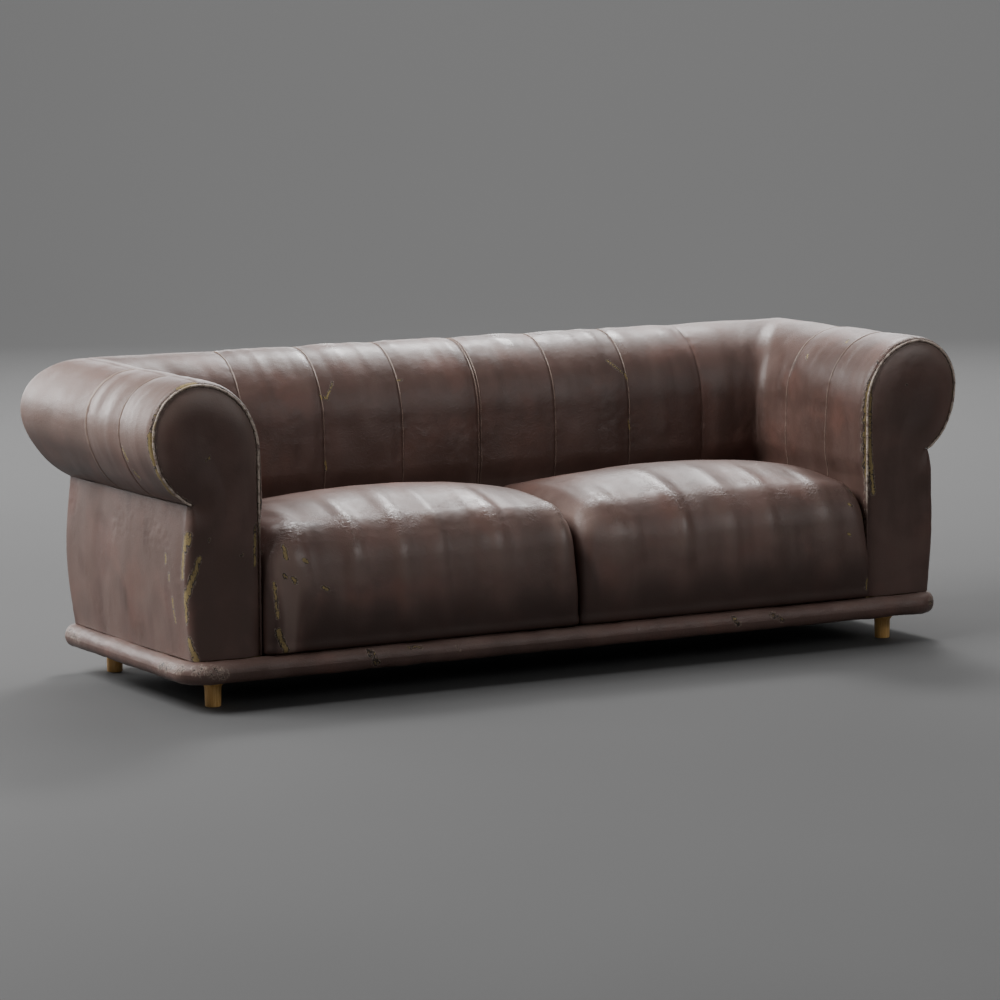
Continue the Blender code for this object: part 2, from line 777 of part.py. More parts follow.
def leg_bolt(name, y):
    low, high = LEG_BORE_Z + GAP, FRAME_Z[0] + 0.028
    bm = bmesh.new()
    bmesh.ops.create_cone(
        bm, cap_ends=True, segments=12, radius1=BOLT_RADIUS, radius2=BOLT_RADIUS, depth=high - low
    )
    made = add(name, mesh_of(bm, name), STEEL)
    made.location = (LEG_X, y, (low + high) / 2)
    return made


clear_scene()
SOFA = collection("worn_leather_sofa")
CUTTERS = collection("cutters")
WORN_LEATHER = finish("worn_brown_leather", (0.105, 0.060, 0.048), 0.42)
PIPING_LEATHER = finish("rubbed_piping_leather", (0.23, 0.16, 0.12), 0.6)
FOAM = finish("yellowed_foam", (0.62, 0.52, 0.30), 0.95)
TIMBER = finish("beech_frame", (0.50, 0.36, 0.22), 0.7)
WEBBING = finish("jute_webbing", (0.36, 0.27, 0.16), 0.9)
CLOTH = finish("black_lining_cloth", (0.03, 0.03, 0.03), 0.95)
OILED_WOOD = finish("oiled_oak", (0.50, 0.27, 0.08), 0.5)
STEEL = finish("zinc_plated_steel", (0.55, 0.55, 0.55), 0.4, 1.0)

MITRE_OF_ARM = mitre_cutter("mitre_of_arm", (-1.0, 1.0, 0.0))
MITRE_OF_BACK_RIGHT = mitre_cutter("mitre_of_back_right", (1.0, -1.0, 0.0))
MITRE_OF_BACK_LEFT = mirrored_cutter(MITRE_OF_BACK_RIGHT, "mitre_of_back_left")

both_sides("arm_cover", arm_cover())
both_sides("arm_foam", arm_foam())
both_sides("outside_arm_panel", outside_arm_panel())
both_sides("arm_facing", arm_facing())
both_sides("arm_piping", arm_piping())
back_cover()
back_foam()
outside_back_panel()
base_roll()
base_frame()
arm_timber()
back_timber()
webbing()
cloths()
cushion()
legs()
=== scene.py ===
# %% [markdown]
# # A worn leather sofa
#
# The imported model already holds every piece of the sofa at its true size: timber, foam, webbing, legs and
# plain covers. This lesson dresses it. Leather is stretched over the arms and the back, two cushions are
# stuffed, a roll is wrapped round the base, and every piece inside gets a finish of its own.
# Everything is in metres, with the seat facing -Y, X along the sofa and the floor at Z = 0.

# %% Load the frame that everything is fitted to
import math

import bmesh
import bpy
import numpy as np
from mathutils import Euler, Matrix, Vector
from mathutils.geometry import delaunay_2d_cdt


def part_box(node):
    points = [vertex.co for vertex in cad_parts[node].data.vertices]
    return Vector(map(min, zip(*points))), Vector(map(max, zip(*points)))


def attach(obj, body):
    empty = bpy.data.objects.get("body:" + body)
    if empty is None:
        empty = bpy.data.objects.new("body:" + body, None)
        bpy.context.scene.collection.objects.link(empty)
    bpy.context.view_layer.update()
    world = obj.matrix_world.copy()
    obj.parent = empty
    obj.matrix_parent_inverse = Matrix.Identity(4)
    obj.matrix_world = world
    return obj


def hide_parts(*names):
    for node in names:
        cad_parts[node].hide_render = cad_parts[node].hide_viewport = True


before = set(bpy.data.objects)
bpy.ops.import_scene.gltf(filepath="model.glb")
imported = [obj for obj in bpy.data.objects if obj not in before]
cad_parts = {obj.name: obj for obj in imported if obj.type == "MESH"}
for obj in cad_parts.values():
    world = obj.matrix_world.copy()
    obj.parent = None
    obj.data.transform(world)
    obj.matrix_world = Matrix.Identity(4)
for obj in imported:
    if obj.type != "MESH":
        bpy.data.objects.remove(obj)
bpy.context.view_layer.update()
print("pieces in the frame:", len(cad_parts))

# %% [markdown]
# ## Sizes
#
# The sofa's arms and back share one section. It could be drawn again by eye, but leather that misses the
# foam by a centimetre shows at once, so the sizes are read off the foam, the arm fronts and the base roll.
# Only the middles of the section's curves, which no box can tell, are given as values.

# %% Read the main sizes off the frame
FOAM_UNDER_LEATHER = 0.0037
FACING_SET_BACK = 0.0012

foam_low, foam_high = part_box("arm_foam_right")
arm_inner_x = foam_low.x - FOAM_UNDER_LEATHER
roll_reach = foam_high.x + FOAM_UNDER_LEATHER - arm_inner_x
crest_z = foam_high.z + FOAM_UNDER_LEATHER
back_inner_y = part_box("back_foam")[0].y - FOAM_UNDER_LEATHER
front_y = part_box("arm_facing_right")[0].y - FACING_SET_BACK
base_low, base_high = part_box("base_roll")
base_radius = (base_high.z - base_low.z) / 2
base_z = (base_high.z + base_low.z) / 2
notch_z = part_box("outside_arm_panel_right")[1].z + 0.0015
panel_foot_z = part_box("outside_arm_panel_right")[0].z
print(f"arm inner face {arm_inner_x:.3f}, roll {roll_reach:.3f} wide")
print(f"crest {crest_z:.3f}, front {front_y:.4f}")

# %% The section's own values
SHOULDER = (0.165, 0.630)  # (s, z): s runs outwards from the face that a sitter leans on
ROLL_AXIS = (0.165, 0.680)
UNDER_AXIS = (0.138, 0.680)
UNDER_DEPTH = 0.185
SEAT_Z = 0.475
OUTSIDE_FOOT = 0.196
OUTSIDE_BULGE = 0.011
PUFF = 0.010  # how far full leather stands off the section
SEAM_FULL = 0.6  # the share of it that is left at a seam
BACK_SEAMS = (0.0, 0.231, 0.462, 0.694)
ARM_SEAMS = (0.185, 0.380)  # back from the front

# %% [markdown]
# ## Helpers for shapes
#
# Leather is smooth but never even. Sculpting it by hand can't be repeated, so each surface starts as a
# close grid of points worked out with numpy, and soft noise, folds and dents then push those points along
# the surface's own normals. The noise below is gradient noise, written for whole arrays at a time.

# %% Smooth noise at many points
def noise_at(points, size, seed, stretch=(1, 1, 1)):
    """Noise from about -1 to 1, with lumps that are size metres across, and longer where stretch is more."""
    random = np.random.default_rng(seed)
    slopes = random.normal(size=(256, 3))
    slopes /= np.linalg.norm(slopes, axis=1, keepdims=True)
    order = random.permutation(256)
    cells = points.reshape(-1, 3) / (size * np.array(stretch))
    corner = np.floor(cells).astype(int)
    part = cells - corner
    ease = part**3 * (part * (part * 6 - 15) + 10)
    total = np.zeros(len(cells))
    for step in np.ndindex(2, 2, 2):
        x, y, z = ((corner + step) & 255).T
        slope = slopes[order[(order[(order[x] + y) & 255] + z) & 255]]
        share = np.prod(np.where(step, ease, 1 - ease), axis=1)
        total += share * np.einsum("ij,ij->i", slope, part - step)
    return 1.6 * total.reshape(points.shape[:-1])


def ease_in(value, low, high):
    """0 below low, 1 above high, and a smooth rise between."""
    share = np.clip((value - low) / (high - low), 0, 1)
    return share * share * (3 - 2 * share)


def bell(value, middle, width):
    """1 at the middle, and a smooth fall on both sides of it."""
    return np.exp(-(((value - middle) / width) ** 2))


print("noise check:", noise_at(np.array([[0.1, 0.2, 0.3]]), 0.05, 1).round(3))


# %% Meshes from arrays of points
SIGN = {"left": -1, "right": 1}  # of X
NO_SEAM = 0.05  # the distance to the nearest seam that a hide without seams keeps


def add_mesh(name, points, faces):
    mesh = bpy.data.meshes.new(name)
    mesh.from_pydata(points.reshape(-1, 3).tolist(), [], faces.tolist())
    mesh.shade_smooth()
    made = bpy.data.objects.new(name, mesh)
    bpy.context.scene.collection.objects.link(made)
    return made


def grid_faces(columns, rows, ring=False, flip=False):
    """Quads between neighbouring points of a grid. A ring's last column joins its first."""
    column, row = np.meshgrid(np.arange(columns if ring else columns - 1), np.arange(rows - 1), indexing="ij")
    beside = (column + 1) % columns
    here, next_column = column * rows + row, beside * rows + row
    quads = np.stack([here, next_column, next_column + 1, here + 1], -1).reshape(-1, 4)
    return quads[:, ::-1] if flip else quads


def grid_normals(points):
    """The direction that each point of a grid faces, from its neighbours' places."""
    normals = np.cross(np.gradient(points, axis=0), np.gradient(points, axis=1))
    return normals / np.maximum(np.linalg.norm(normals, axis=-1, keepdims=True), 1e-12)


def store(made, **fields):
    """Keeps a number for every point of a mesh, which its finish can read by name. One number serves all."""
    for name, values in fields.items():
        if np.ndim(values) == 0:
            values = np.full(len(made.data.vertices), values)
        field = made.data.attributes.new(name, "FLOAT", "POINT")
        field.data.foreach_set("value", np.asarray(values, np.float32).ravel())


def both_sides(build, name, *replaced):
    """Builds the left and the right copy of a piece. Each stands for the frame's nodes of its side."""
    pieces = {side: build(side, f"{name}_{side}") for side in SIGN}
    for side, made in pieces.items():
        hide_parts(*(f"{node}_{side}" for node in replaced))
        print(made.name, len(made.data.polygons), "faces")
    return pieces


def resample(line, places):
    """Points at the given distances along a line."""
    steps = np.linalg.norm(np.diff(line, axis=0), axis=1)
    along = np.concatenate([[0], np.cumsum(steps)])
    return np.stack([np.interp(places, along, line[:, axis]) for axis in range(line.shape[1])], -1)


def line_length(line):
    return np.linalg.norm(np.diff(line, axis=0), axis=1).sum()


# %% [markdown]
# ## Wear
#
# Old leather wears through at its edges and corners: the brown skin cracks, lifts and leaves an ochre
# patch. Such marks could be painted on an image, but they would then depend on an unwrapped map. Here each
# mark is a short line in space with a width, every point keeps how deep it lies in the nearest mark, and
# the finish breaks that smooth field up into ragged patches and cracks.

# %% How deep each point lies in a mark
def in_marks(points, marks):
    """From 0 outside every mark to 1 on a mark's line. A mark is (start, end, width)."""
    deep = np.zeros(points.shape[:-1])
    for start, end, width in marks:
        start, end = np.array(start), np.array(end)
        along = end - start
        share = np.clip((points - start) @ along / max(along @ along, 1e-9), 0, 1)
        gap = np.linalg.norm(points - start - share[..., None] * along, axis=-1)
        deep = np.maximum(deep, 1 - gap / width)
    return np.clip(deep, 0, 1)


# %% [markdown]
# ## The shared section
#
# Up the face that a sitter leans on, over the roll and in under it: one outline serves both arms, their
# fronts and the back. Ellipses give its round stretches, and it is then walked at an even pace, faster
# below the seat, where the cushions hide it.

# %% Draw the section
def quarter(centre, reach, rise, start, end, count=160):
    turn = np.linspace(start, end, count)
    return np.stack([centre[0] + reach * np.cos(turn), centre[1] + rise * np.sin(turn)], -1)


def roll_outline(foot_z, inset=0.0):
    """(s, z) points from the foot of the inner face, over the roll, to the notch under it."""
    under_rise = UNDER_DEPTH - inset
    under_turn = math.asin((UNDER_AXIS[1] - notch_z) / under_rise)
    crest = crest_z - inset
    inner = np.stack([np.full(160, inset), np.linspace(foot_z, SHOULDER[1], 160)], -1)
    over = quarter(SHOULDER, SHOULDER[0] - inset, crest - SHOULDER[1], math.pi, math.pi / 2)
    outer = quarter(ROLL_AXIS, roll_reach - ROLL_AXIS[0] - inset, crest - ROLL_AXIS[1], math.pi / 2, 0)
    under = quarter(UNDER_AXIS, roll_reach - UNDER_AXIS[0] - inset, under_rise, 0, -under_turn)
    return np.concatenate([inner, over[1:], outer[1:], under[1:]])


def outside_s(z):
    """How far out the side below the roll stands at a height."""
    notch_s = roll_outline(panel_foot_z)[-1][0]
    share = np.clip((notch_z - z) / (notch_z - panel_foot_z), 0, 1)
    return notch_s + (OUTSIDE_FOOT - notch_s) * share + OUTSIDE_BULGE * np.sin(np.pi * share)


cover_foot_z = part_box("back_cover")[0].z
section = roll_outline(cover_foot_z)
print(f"the section is {line_length(section):.3f} m round")

# %% Walk the section
ROW_STEP = 0.0046
HIDDEN_ROW_STEP = 0.018
hidden_length = SEAT_Z - 0.03 - cover_foot_z
seen_rows = round((line_length(section) - hidden_length) / ROW_STEP)
seen_places = np.linspace(hidden_length, line_length(section), seen_rows)
row_places = np.concatenate([np.arange(0, hidden_length, HIDDEN_ROW_STEP), seen_places])
rows = resample(section, row_places)
row_s, row_z = rows.T


def puff_at(s, z):
    """How freely the leather puffs: not at its foot, nor where it is held down under the roll."""
    inner = 1.5 * ease_in(z, SEAT_Z - 0.04, SEAT_Z + 0.03) - 0.7 * ease_in(z, 0.54, 0.70)
    over = 0.60 + 0.45 * np.clip((s - SHOULDER[0]) / 0.12, 0, 1) ** 3
    under = 1.05 * ease_in(z, 0.57, ROLL_AXIS[1])
    return np.where(s < SHOULDER[0], inner, np.where(z > ROLL_AXIS[1], over, under))


row_puff = puff_at(row_s, row_z)
print("rows round the section:", len(rows))

# %% [markdown]
# ## Leather over the arms and the back
#
# On the real sofa wide strips of hide are sewn together, laid over foam and pulled down tight, so each
# strip swells a little between its seams and each seam is a shallow valley with a thin raised edge. A flat
# plane with a bump map would lose the valleys against the light. So the section is swept along the arms
# and the back with its columns packed close beside each seam. In the two inner corners the hide is
# stretched round in a soft fold, and over the roll it turns a tight mitre.

# %% Where the columns of a strip lie
SEAM_STEPS = np.array([0, 0.0008, 0.0016, 0.0025, 0.0036, 0.0050, 0.0070, 0.0100, 0.0140])


def column_places(start, end, step, seams):
    """Places along a run, an even step apart and close together beside each seam."""
    near = np.concatenate([seam + side * SEAM_STEPS for seam in seams for side in (-1, 1)])
    even = np.linspace(start, end, round((end - start) / step) + 1)
    clear = np.abs(even[:, None] - np.array(seams)).min(1) > SEAM_STEPS[-1] + step / 2
    places = np.concatenate([near, even[clear], [start, end]])
    places = places[(places >= start - 1e-9) & (places <= end + 1e-9)]
    return np.unique(places.round(5))


def beside_seam(places, seams):
    """The signed distance from each place to its nearest seam."""
    gaps = places[:, None] - np.array(seams)
    return np.take_along_axis(gaps, np.abs(gaps).argmin(1)[:, None], 1)[:, 0]


print("columns in a 0.5 m run:", len(column_places(0, 0.5, 0.005, (0.2,))))

# %% The height of the leather over the section
SWELL_WIDTH = 0.032  # from a seam to where the leather stands nearly full
VALLEY = (0.0020, 0.0038)  # depth and half width
RAISED_EDGE = (0.0018, 0.0026, 0.0010)  # height, distance from the seam and half width
DENT = 0.0016
FOLD = 0.0040
PULL = 0.0010  # the small tucks beside a seam
WRINKLE = 0.0006


def soft_folds(places, seed):
    """Soft folds that run up and over the section, in the leather's own two directions."""
    on_hide = np.stack(np.broadcast_arrays(places[:, None], row_places[None, :], 0.0), -1)
    return noise_at(on_hide, 0.056, seed, (1, 6, 1)) + 0.35 * noise_at(on_hide, 0.027, seed + 1, (1, 6, 1))


def leather_height(points, gap, puff, folds):
    """How far the leather stands off its base. gap is the signed distance to the nearest seam."""
    near = np.abs(gap)
    swell = SEAM_FULL + (1 - SEAM_FULL) * (1 - bell(near, 0, SWELL_WIDTH))
    valley = -VALLEY[0] * bell(near, 0, VALLEY[1])
    raised_edge = RAISED_EDGE[0] * bell(gap, *RAISED_EDGE[1:])
    soft = 0.25 + 0.75 * puff
    dents = DENT * noise_at(points, 0.130, 3) + 0.35 * DENT * noise_at(points, 0.050, 5)
    on_crest = ease_in(points[..., 2], crest_z - 0.035, crest_z - 0.005)
    dents += FOLD * folds * (1 - 0.8 * bell(near, 0, 0.022)) * (1 - 0.45 * on_crest)
    pulls = PULL * noise_at(points, 0.020, 8) * bell(near, 0, 0.016)
    wrinkles = WRINKLE * noise_at(points, 0.021, 13) * ease_in(noise_at(points, 0.16, 21), 0.0, 0.5)
    return PUFF * swell * puff + valley + raised_edge + (dents + pulls + wrinkles) * soft


# %% Marks on the arms and the back
BACK_MARKS = (
    # (x, z)
    ((-0.421, 0.728), (-0.448, 0.690), 0.0044),
    ((-0.452, 0.694), (-0.444, 0.688), 0.0054),
    ((-0.463, 0.700), (-0.460, 0.690), 0.0048),
    ((0.415, 0.742), (0.455, 0.706), 0.0040),
    ((0.460, 0.704), (0.464, 0.690), 0.0050),
    ((-0.459, 0.530), (-0.457, 0.505), 0.0042),
    ((0.460, 0.580), (0.464, 0.555), 0.0042),
    ((-0.228, 0.724), (-0.218, 0.724), 0.0040),
)
print("marks on the back:", len(BACK_MARKS))


# %% Let the arms' fronts settle
SETTLE = {"left": 0.008, "right": 0.003}  # how far each lower front corner has moved to the right


def settle(points, side):
    """Years of leaning have pushed the arms over a little, most at the front and below the roll."""
    x, y, z = np.moveaxis(points, -1, 0)
    low = ease_in(z, notch_z + 0.09, notch_z - 0.01)
    outer = ease_in(abs(x), arm_inner_x + 0.09, arm_inner_x + 0.19)
    near_front = np.exp(-np.maximum(0, y - front_y) / 0.12)
    moved = points.copy()
    moved[..., 0] += SETTLE[side] * low * outer * near_front
    return moved


# %% Sweep one arm, its corner and the first strip of the back
COVER_START = 0.0060
ARM_COLUMN_STEP = 0.0050
SEAT_FOLD_RADIUS = 0.014  # of the inner corner below the seat
FOLD_RADIUS = 0.056  # of the soft fold above it
MITRE_RADIUS = 0.018
FRONT_COLUMNS = (0.0008, 0.0018, 0.003, 0.0045)  # extra ones at the front edge
FOLD_SEEDS = {"left": 101, "right": 105}

# (y, z) on the right arm's inner face, and on the left arm's outer face
INNER_MARKS = {
    "left": (),
    "right": (
        ((-0.170, 0.792), (-0.176, 0.788), 0.006),
        ((-0.055, 0.745), (-0.060, 0.737), 0.007),
        ((-0.384, 0.700), (-0.384, 0.450), 0.008),
    ),
}
OUTER_MARKS = {
    "left": (
        ((-0.215, 0.640), (-0.225, 0.615), 0.009),
        ((-0.230, 0.585), (-0.240, 0.570), 0.008),
        ((-0.378, 0.690), (-0.378, 0.620), 0.010),
        ((-0.378, 0.600), (-0.378, 0.545), 0.014),
        ((-0.378, 0.802), (-0.378, 0.812), 0.008),
    ),
    "right": (),
}


def round_off(reach, radius):
    """max(0, reach), eased within radius of nought."""
    return np.where(reach > radius, reach, np.where(reach < -radius, 0, (reach + radius) ** 2 / (4 * radius)))


def arm_sweep(places):
    """The right arm's base surface, from its front, round the corner and on to the back's last seam."""
    start = front_y + COVER_START
    arm_run = back_inner_y - start
    last_arm_seam = front_y + ARM_SEAMS[-1]
    last_back_seam = BACK_SEAMS[-1]
    place, s = np.meshgrid(places, row_s, indexing="ij")
    z = np.broadcast_to(row_z, place.shape)
    y = start + place
    past = (y > last_arm_seam) & (place <= arm_run)
    y = np.where(past, last_arm_seam + (y - last_arm_seam) * (1 + s / (back_inner_y - last_arm_seam)), y)
    x = arm_inner_x - (place - arm_run)
    x = last_back_seam + (x - last_back_seam) * (1 + s / (arm_inner_x - last_back_seam))
    to_corner = np.where(place <= arm_run, back_inner_y + s - y, x - arm_inner_x - s)
    inner = SEAT_FOLD_RADIUS + (FOLD_RADIUS - SEAT_FOLD_RADIUS) * ease_in(z, 0.38, 0.54)
    radius = inner + (MITRE_RADIUS - inner) * ease_in(s, 0.02, SHOULDER[0])
    return np.stack(
        [
            arm_inner_x + s - round_off(-to_corner, radius),
            back_inner_y + s - round_off(to_corner, radius),
            z,
        ],
        -1,
    )


def arm_leather(side, name):
    arm_run = back_inner_y - front_y - COVER_START
    end = arm_run + arm_inner_x - BACK_SEAMS[-1]
    seams = [seam - COVER_START for seam in ARM_SEAMS] + [end]
    tight = np.concatenate([FRONT_COLUMNS, arm_run + np.arange(-0.03, 0.031, 0.0025)])
    places = np.union1d(column_places(0, end, ARM_COLUMN_STEP, seams), tight.round(5))
    base = arm_sweep(places) * (SIGN[side], 1, 1)
    normals = -SIGN[side] * grid_normals(base)
    gap = np.broadcast_to(beside_seam(places, seams)[:, None], base.shape[:2])
    height = leather_height(base, gap, row_puff[None, :], 0.6 * soft_folds(places, FOLD_SEEDS[side]))
    from_front = places[:, None]
    height = height * (1 - np.exp(-from_front / 0.008)) - 0.002 * np.exp(-from_front / 0.002)
    points = settle(base + normals * height[..., None], side)
    made = add_mesh(name, points, grid_faces(len(places), len(rows), flip=side == "right"))

    # Painted shade darkens the back's inner face beyond each corner and the underside of the roll, and painted
    # light makes the roll's outer face paler; the whole hide is also a little paler.
    on_inner_face = ease_in(row_s, 0.06, 0.0)[None, :]
    shade = 0.45 * on_inner_face * ease_in(abs(points[..., 0]), arm_inner_x + 0.01, arm_inner_x - 0.05)
    on_outer_face = ease_in(row_s, 0.17, 0.25)[None, :]
    shade = shade + 0.6 * ease_in(row_z, 0.61, 0.53)[None, :] * ease_in(row_s, 0.12, 0.17)[None, :]
    shade = shade - 0.55 * on_outer_face * ease_in(row_z, 0.59, 0.66)[None, :] - 0.15
    beyond_axis = (row_s > ROLL_AXIS[0])[None, :]
    before_axis = (row_s < ROLL_AXIS[0])[None, :]
    store(
        made,
        seam=gap,
        rub=np.broadcast_to(np.exp(-from_front / 0.010), gap.shape),
        tear=in_marks(points[..., 1:], INNER_MARKS[side]) * before_axis
        + in_marks(points[..., 1:], OUTER_MARKS[side]) * beyond_axis,
        crinkle=np.broadcast_to(0.35 * row_puff, gap.shape),
        shade=shade,
    )
    return made


arm_covers = both_sides(arm_leather, "arm_leather", "arm_cover")


# %% Sweep the middle of the back
BACK_COLUMN_STEP = 0.0052
DOUBLE_SEAM = 0.008  # the middle seam is sewn twice


def back_leather(name):
    half = BACK_SEAMS[-1]
    seams = [side * seam for seam in BACK_SEAMS[1:] for side in (-1, 1)] + [-DOUBLE_SEAM / 2, DOUBLE_SEAM / 2]
    places = column_places(-half, half, BACK_COLUMN_STEP, seams)
    place, s = np.meshgrid(places, row_s, indexing="ij")
    z = np.broadcast_to(row_z, place.shape)
    base = np.stack([place, back_inner_y + s, z], -1)
    normals = grid_normals(base)
    gap = np.broadcast_to(beside_seam(places, seams)[:, None], place.shape)
    folds = soft_folds(places, 113)
    height = leather_height(base, gap, row_puff[None, :], folds * (0.5 + 0.5 * ease_in(z, 0.66, 0.74)))
    points = base + normals * height[..., None]
    made = add_mesh(name, points, grid_faces(len(places), len(rows)))
    # Painted shade: the inner face darkens towards the right end of the back.
    shade = 0.62 * ease_in(row_s, 0.06, 0.0)[None, :] * ease_in(points[..., 0], 0.0, half)
    store(
        made,
        seam=gap,
        rub=0,
        tear=in_marks(points[..., [0, 2]], BACK_MARKS) * ease_in(s, 0.10, 0.05),
        crinkle=np.broadcast_to(0.35 * row_puff, gap.shape),
        shade=shade,
        polish=ease_in(folds, 0.0, 0.6) * ease_in(z, 0.70, 0.76),
    )
    return made


back_cover = back_leather("back_leather")
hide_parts("back_cover")
print(back_cover.name, len(back_cover.data.polygons), "quads")

# %% [markdown]
# ## Arm fronts and sides
#
# One hide covers the front of an arm and turns the outer corner on to its side, so there is no seam down
# that corner, only a soft edge that people brush against and wear through. Two separate panels would need
# a joint just where the eye falls. So the hide is laid out flat, as a cutter would draw it: the keyhole
# shape of the front, with the side panel joined to it below the roll. That shape is filled with an even
# spread of points, joined into triangles, and then wrapped round the two corners.

# %% Lay the hide out flat
CORNER_RADIUS = 0.014
WRAP_ON_BACK = 0.012
POINT_STEP = 0.0056
HIDE_EDGE_Z = notch_z - 0.001  # the top edge of the side panel
hide_foot_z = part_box("arm_facing_right")[0].z
corner_arc = CORNER_RADIUS * math.pi / 2


def hide_width(z):
    """How far the flat hide reaches at a height, from the arm's inner face to just past its back corner."""
    out = outside_s(z)
    side_length = back_inner_y + out - front_y - 2 * CORNER_RADIUS
    return out - CORNER_RADIUS + corner_arc + side_length + corner_arc + WRAP_ON_BACK


def hide_outline():
    """The flat hide's edge: the roll's keyhole first, then the side panel's top, back end and foot."""
    keyhole = roll_outline(hide_foot_z, inset=0.0065)
    corner = (outside_s(HIDE_EDGE_Z) - CORNER_RADIUS, HIDE_EDGE_Z)
    heights = np.linspace(HIDE_EDGE_Z, hide_foot_z, 60)
    back_end = np.stack([hide_width(heights), heights], -1)
    outline = np.concatenate([keyhole, [corner], back_end, [keyhole[0]]])
    outline = resample(outline, np.arange(0, line_length(outline), POINT_STEP))
    return outline, round(line_length(keyhole) / POINT_STEP)


def inside(points, outline):
    """Whether each point lies in the outline, by counting the edges to its right."""
    x, z = points.T[:, :, None]
    first, second = outline, np.roll(outline, -1, axis=0)
    crosses = (first[:, 1] > z) != (second[:, 1] > z)
    rise = np.where(second[:, 1] == first[:, 1], 1e-12, second[:, 1] - first[:, 1])
    at = first[:, 0] + (z - first[:, 1]) * (second[:, 0] - first[:, 0]) / rise
    return (crosses & (x < at)).sum(1) % 2 == 1


def nearest_gap(points, line):
    """The distance from each point to the nearest point of a line."""
    parts = np.array_split(points, 40)  # in parts, to spare memory
    return np.concatenate([np.linalg.norm(part[:, None] - line, axis=2).min(1) for part in parts])


def flat_hide():
    outline, keyhole_points = hide_outline()
    low, high = outline.min(0), outline.max(0)
    across = np.arange(low[0], high[0], POINT_STEP)
    up = np.arange(low[1], high[1], POINT_STEP * 0.87)
    grid = np.stack(np.meshgrid(across, up), -1)
    grid[1::2, :, 0] += POINT_STEP / 2
    grid = grid.reshape(-1, 2)
    grid = grid[inside(grid, outline)]
    grid = grid[nearest_gap(grid, outline) > POINT_STEP * 0.6]
    points = np.concatenate([outline, grid])
    edges = [(k, (k + 1) % len(outline)) for k in range(len(outline))]
    flat, _, faces, *_ = delaunay_2d_cdt([Vector(p) for p in points], edges, [], 1, 1e-6)
    return np.array(flat), np.array(faces), outline[:keyhole_points]


hide_points, hide_faces, keyhole_edge = flat_hide()
print(f"the flat hide has {len(hide_points)} points and {len(hide_faces)} triangles")


# %% Wrap the hide round the arm
def wrap_hide(flat):
    """The right arm's (x, y, z) and outward direction for each flat point."""
    run, z = flat.T
    out = outside_s(z)
    first = np.where(z > HIDE_EDGE_Z + 1e-5, 9.0, out - CORNER_RADIUS)
    side_start = first + corner_arc
    side_end = side_start + back_inner_y + out - front_y - 2 * CORNER_RADIUS
    front_turn = np.clip((run - first) / CORNER_RADIUS, 0, math.pi / 2)
    back_turn = np.clip((run - side_end) / CORNER_RADIUS, 0, math.pi / 2)
    x = np.minimum(run, first) + CORNER_RADIUS * (np.sin(front_turn) - 1 + np.cos(back_turn))
    x -= np.maximum(run - side_end - corner_arc, 0)
    y = front_y + FACING_SET_BACK + CORNER_RADIUS * (1 - np.cos(front_turn) + np.sin(back_turn))
    y += np.clip(run - side_start, 0, side_end - side_start)
    turn = front_turn + back_turn
    out_x = np.sin(turn)
    out_y = -np.cos(turn)
    return np.stack([arm_inner_x + x, y, z], -1), np.stack([out_x, out_y, 0 * turn], -1)


SIDE_MARKS = {
    # (distance past the corner, z): below 0 on the front, above 0 on the side
    "left": (
        ((0.002, 0.437), (0.012, 0.405), 0.0152),
        ((0.014, 0.412), (0.020, 0.335), 0.0122),
        ((-0.026, 0.382), (0.004, 0.292), 0.0106),
        ((0.008, 0.300), (0.010, 0.226), 0.0099),
        ((0.008, 0.182), (-0.004, 0.132), 0.0114),
        ((0.110, 0.380), (0.112, 0.362), 0.0076),
        ((0.092, 0.334), (0.094, 0.320), 0.0068),
        ((0.080, 0.275), (0.072, 0.220), 0.0068),
        ((-0.055, 0.429), (-0.052, 0.424), 0.0046),
        ((-0.150, 0.384), (-0.146, 0.382), 0.0046),
        ((-0.186, 0.450), (-0.187, 0.355), 0.0068),
        ((-0.060, 0.628), (-0.050, 0.622), 0.0038),
    ),
    "right": (
        ((0.008, 0.425), (0.010, 0.405), 0.0076),
        ((0.006, 0.350), (0.010, 0.325), 0.0068),
        ((0.010, 0.180), (0.004, 0.150), 0.0068),
        ((-0.184, 0.705), (-0.187, 0.540), 0.0061),
        ((-0.187, 0.560), (-0.184, 0.405), 0.0076),
        ((-0.075, 0.690), (-0.072, 0.686), 0.0038),
    ),
}
WORN_Z = {"left": 0.46, "right": 0.39}  # down to here the edge of an arm's front is rubbed pale
# painted shade over each arm's front, deeper on the right
FRONT_SHADE = {"left": 0.12, "right": 0.34}
FRONT_PILLOW = 0.017  # how far the padded front stands off its board


